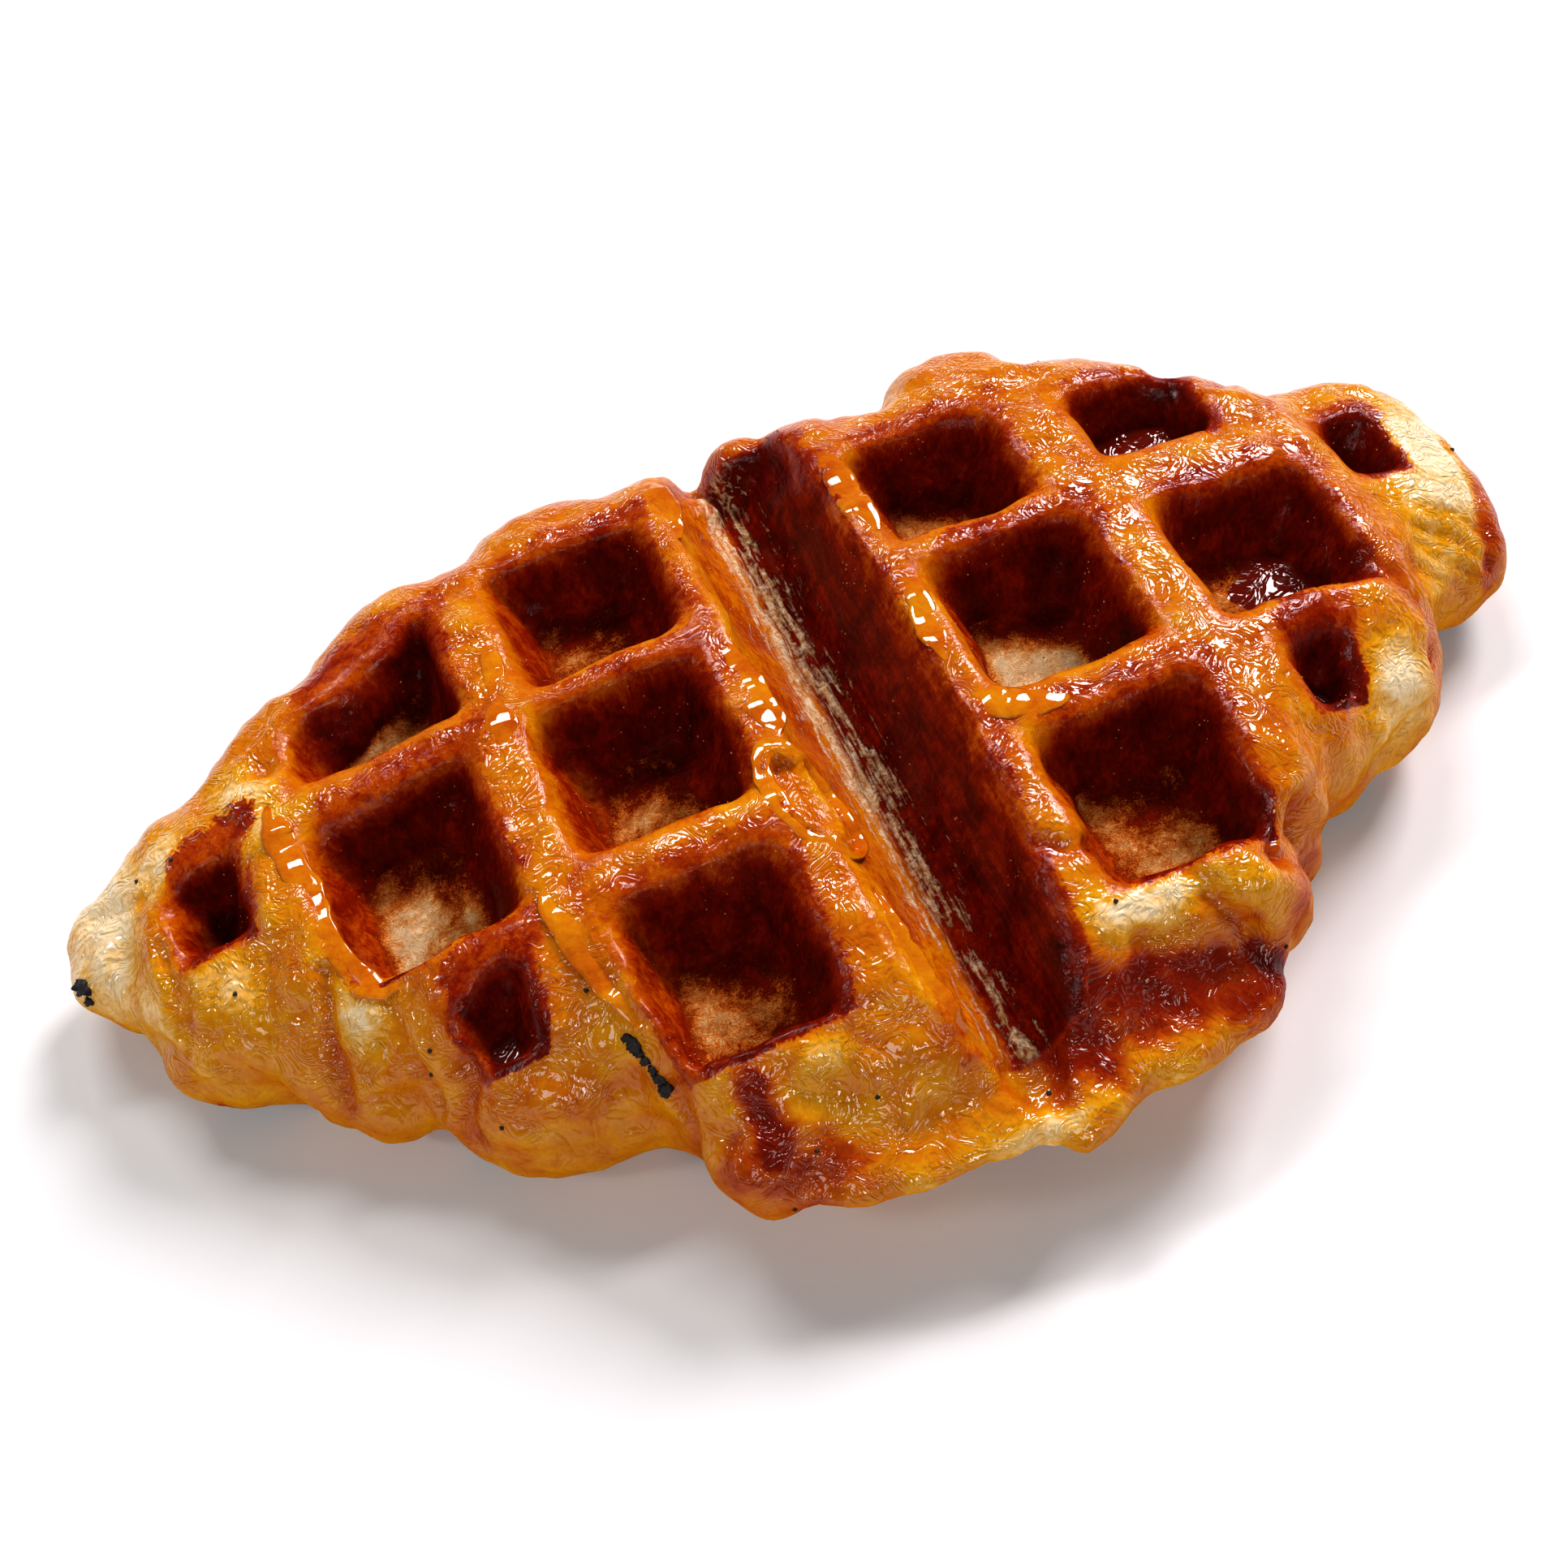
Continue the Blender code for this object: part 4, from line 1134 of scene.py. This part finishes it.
def beads_tree():
    tree, given, result = geometry_tree("sugar beads", {
        "Beads a square metre": BEADS_PER_SQUARE_METRE, "Smallest": BEAD_RADIUS,
        "Largest": BEAD_RADIUS_MOST, "Seed": BEAD_SEED, "Glaze": "Material"})
    at = tree.geometry("InputPosition")
    _, _, level = tree.parts(at)
    _, _, up = tree.parts(tree.geometry("InputNormal"))
    clump = tree.noise(at, CLUMP_SCALE, 3.0)
    clump = tree.math("MAXIMUM", tree.scaled(clump, *CLUMPING), 0.0)
    shown = tree.math("ADD", up, tree.times(level, SHOWN_WALLS))
    shown = tree.math("GREATER_THAN", shown, SHOWN_LEAST)
    brown = clamped(tree, tree.scaled(tree.named("baked"), *ON_BROWN))
    density = tree.times(tree.times(clump, shown), given["Beads a square metre"])
    density = tree.times(density, brown)
    points = tree.geometry("DistributePointsOnFaces", {
        "Mesh": given["Geometry"], "Density": density, "Seed": given["Seed"]}, distribute_method="RANDOM")
    size = tree.add("FunctionNodeRandomValue", {
        2: given["Smallest"], 3: given["Largest"], "Seed": given["Seed"]}, out=1, data_type="FLOAT")
    bead = tree.geometry("MeshIcoSphere", {"Radius": 1.0, "Subdivisions": 1})
    beads = tree.geometry("InstanceOnPoints", {"Points": points, "Instance": bead, "Scale": size})
    tree.finish(tree.geometry("SetShadeSmooth", {"Geometry": beads}), given["Glaze"], result)
    return tree


bead_finish = bpy.data.materials.new("sugar_bead")
shader_of(bead_finish, {
    "Base Color": (0.42, 0.13, 0.03, 1), "Roughness": 0.25, "Coat Weight": 1.0, "Coat Roughness": 0.03})
beads = new_piece("sugar_beads", bmesh.new())
beads.data = crust.data.copy()
run_tree(beads, beads_tree(), {"Glaze": bead_finish})
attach(beads, "root")
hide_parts("croffle")

# THE CHAR. Crumbs that stuck to the hot iron and burnt: a torn black flake below the nearest
# left well, a burnt crumb at the left tip, and specks scattered over the near side.
CHAR_FLAKES = [  # along, across, up in pitches, half sizes in mm along, across and up
    (-1.405, -0.655, 0.81, 0.7, 0.5, 0.30), (-1.380, -0.680, 0.80, 1.0, 0.8, 0.35),
    (-1.375, -0.715, 0.78, 0.5, 0.7, 0.30), (-1.365, -0.750, 0.77, 0.45, 0.7, 0.30),
    (-1.355, -0.785, 0.75, 0.45, 0.7, 0.30), (-1.345, -0.820, 0.73, 0.5, 0.7, 0.30),
    (-1.335, -0.855, 0.71, 0.9, 0.7, 0.35), (-1.355, -0.875, 0.69, 0.6, 0.4, 0.30),
    (-3.455, 0.790, 0.42, 1.0, 0.8, 0.80), (-3.445, 0.760, 0.37, 0.5, 0.5, 0.45),
]
SPECKS = [(-2.12, -0.30, 0.70), (-2.16, -0.36, 0.62), (-1.96, -0.62, 0.50), (-0.60, -1.22, 0.70),
          (-0.90, -1.30, 0.62), (0.02, -1.43, 0.57), (-1.48, -0.42, 0.86), (-2.80, 0.28, 0.70),
          (0.52, -0.98, 0.95), (-3.08, 1.02, 0.68), (-2.90, 0.98, 0.79), (1.18, -1.30, 0.58),
          (-1.05, -1.42, 0.45), (3.28, 0.74, 0.60)]
SPECK_RADIUS = 0.00022
CHAR_ROUGHNESS = 0.55
CHAR_TEARS = 2.3
CHAR_TURN = 0.7  # from one crumb to the next, in radians
SPECK_SEED = 40


def add_crumb(builder, middle, half, turn, seed):
    """A burnt crumb: a torn lump, its surface broken up."""
    crumb = bmesh.ops.create_icosphere(builder, subdivisions=3, radius=1.0)
    spin = Matrix.Rotation(turn, 3, "Z")
    for vert in crumb["verts"]:
        torn = 1 + CHAR_ROUGHNESS * noise.noise(vert.co * CHAR_TEARS + Vector((seed, 0, 0)))
        off = Vector((vert.co.x * half[0], vert.co.y * half[1], vert.co.z * half[2])) * torn
        vert.co = middle + spin @ off


def skin_under(along, across, up):
    """The nearest place on the crust to a point given in pitches."""
    nearest, _, _, _ = crust_skin.find_nearest(Vector(spot((along, across, up))))
    return nearest


char_builder = bmesh.new()
for number, (along, across, up, *half) in enumerate(CHAR_FLAKES):
    half = [size / 1000 for size in half]
    add_crumb(char_builder, skin_under(along, across, up), half, CHAR_TURN * number, number)
for number, middle in enumerate(SPECKS, SPECK_SEED):
    add_crumb(char_builder, skin_under(*middle), [SPECK_RADIUS] * 3, 0.0, number)
char = new_piece("char", char_builder)
char_finish = bpy.data.materials.new("burnt_crumb")
shader_of(char_finish, {"Base Color": (0.012, 0.009, 0.009, 1), "Roughness": 0.6})
char.data.materials.append(char_finish)
char.data.shade_smooth()
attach(char, "root")
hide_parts("croffle")

# THE STUDIO. A plain pale sweep under the croffle, a strong softbox behind and to the right of
# it as in the photograph, and weaker ones all round. The camera looks down on it.
floor_builder = bmesh.new()
bmesh.ops.create_grid(floor_builder, x_segments=1, y_segments=1, size=3.0)
floor = new_piece("floor", floor_builder)
floor_finish = bpy.data.materials.new("pale_floor")
shader_of(floor_finish, {"Base Color": (0.86, 0.86, 0.86, 1), "Roughness": 0.9})
floor.data.materials.append(floor_finish)

LENS = 43.79
SENSOR = 36.0
EYE = Vector((-0.0338, -0.1042, 0.1700))
AZIMUTH, ELEVATION, ROLL = (math.radians(angle) for angle in (-14.698, 55.248, -9.26))
back = Vector((math.sin(AZIMUTH) * math.cos(ELEVATION), -math.cos(AZIMUTH) * math.cos(ELEVATION),
               math.sin(ELEVATION)))
level_right = (-back).cross(Vector((0, 0, 1))).normalized()
level_up = level_right.cross(-back)
right = math.cos(ROLL) * level_right + math.sin(ROLL) * level_up
up = -math.sin(ROLL) * level_right + math.cos(ROLL) * level_up
camera_data = bpy.data.cameras.new("camera")
camera_data.lens = LENS
camera_data.sensor_width = SENSOR
camera_data.clip_start = 0.01
camera = bpy.data.objects.new("camera", camera_data)
camera.matrix_world = Matrix((right, up, back)).transposed().to_4x4()
camera.location = EYE
bpy.context.scene.collection.objects.link(camera)
bpy.context.scene.camera = camera

SOFTBOXES = {  # direction, distance, width and height in metres, watts, colour
    "back_softbox": ((0.68, 0.50, 0.72), 2.5, (0.85, 0.85), 53.0, (1.0, 0.94, 0.98)),
    "back_strip": ((0.00, 0.60, 0.80), 2.5, (1.10, 0.32), 22.0, (1.0, 0.98, 0.99)),
    "front_softbox": ((-0.45, -0.85, 0.75), 1.6, (0.55, 0.55), 4.2, (1.0, 1.0, 1.0)),
    "left_strip": ((-0.85, 0.10, 0.55), 2.5, (0.35, 0.35), 7.0, (1.0, 1.0, 1.0)),
    "front_strip": ((0.15, -0.90, 0.60), 2.5, (0.70, 0.30), 7.5, (1.0, 1.0, 1.0)),
}
WORLD_STRENGTH = 0.09
for name, (direction, distance, size, power, colour) in SOFTBOXES.items():
    data = bpy.data.lights.new(name, "AREA")
    data.shape = "RECTANGLE"
    data.size, data.size_y = size
    data.energy = power
    data.color = colour
    light = bpy.data.objects.new(name, data)
    where = Vector(direction).normalized()
    light.location = where * distance
    light.rotation_mode = "QUATERNION"
    light.rotation_quaternion = where.to_track_quat("Z", "Y")
    bpy.context.scene.collection.objects.link(light)
world = bpy.data.worlds.new("studio")
world.use_nodes = True
world.node_tree.nodes["Background"].inputs["Color"].default_value = (1, 1, 1, 1)
world.node_tree.nodes["Background"].inputs["Strength"].default_value = WORLD_STRENGTH
bpy.context.scene.world = world
bpy.context.scene.view_settings.view_transform = "Standard"
bpy.context.scene.view_settings.look = "Medium High Contrast"
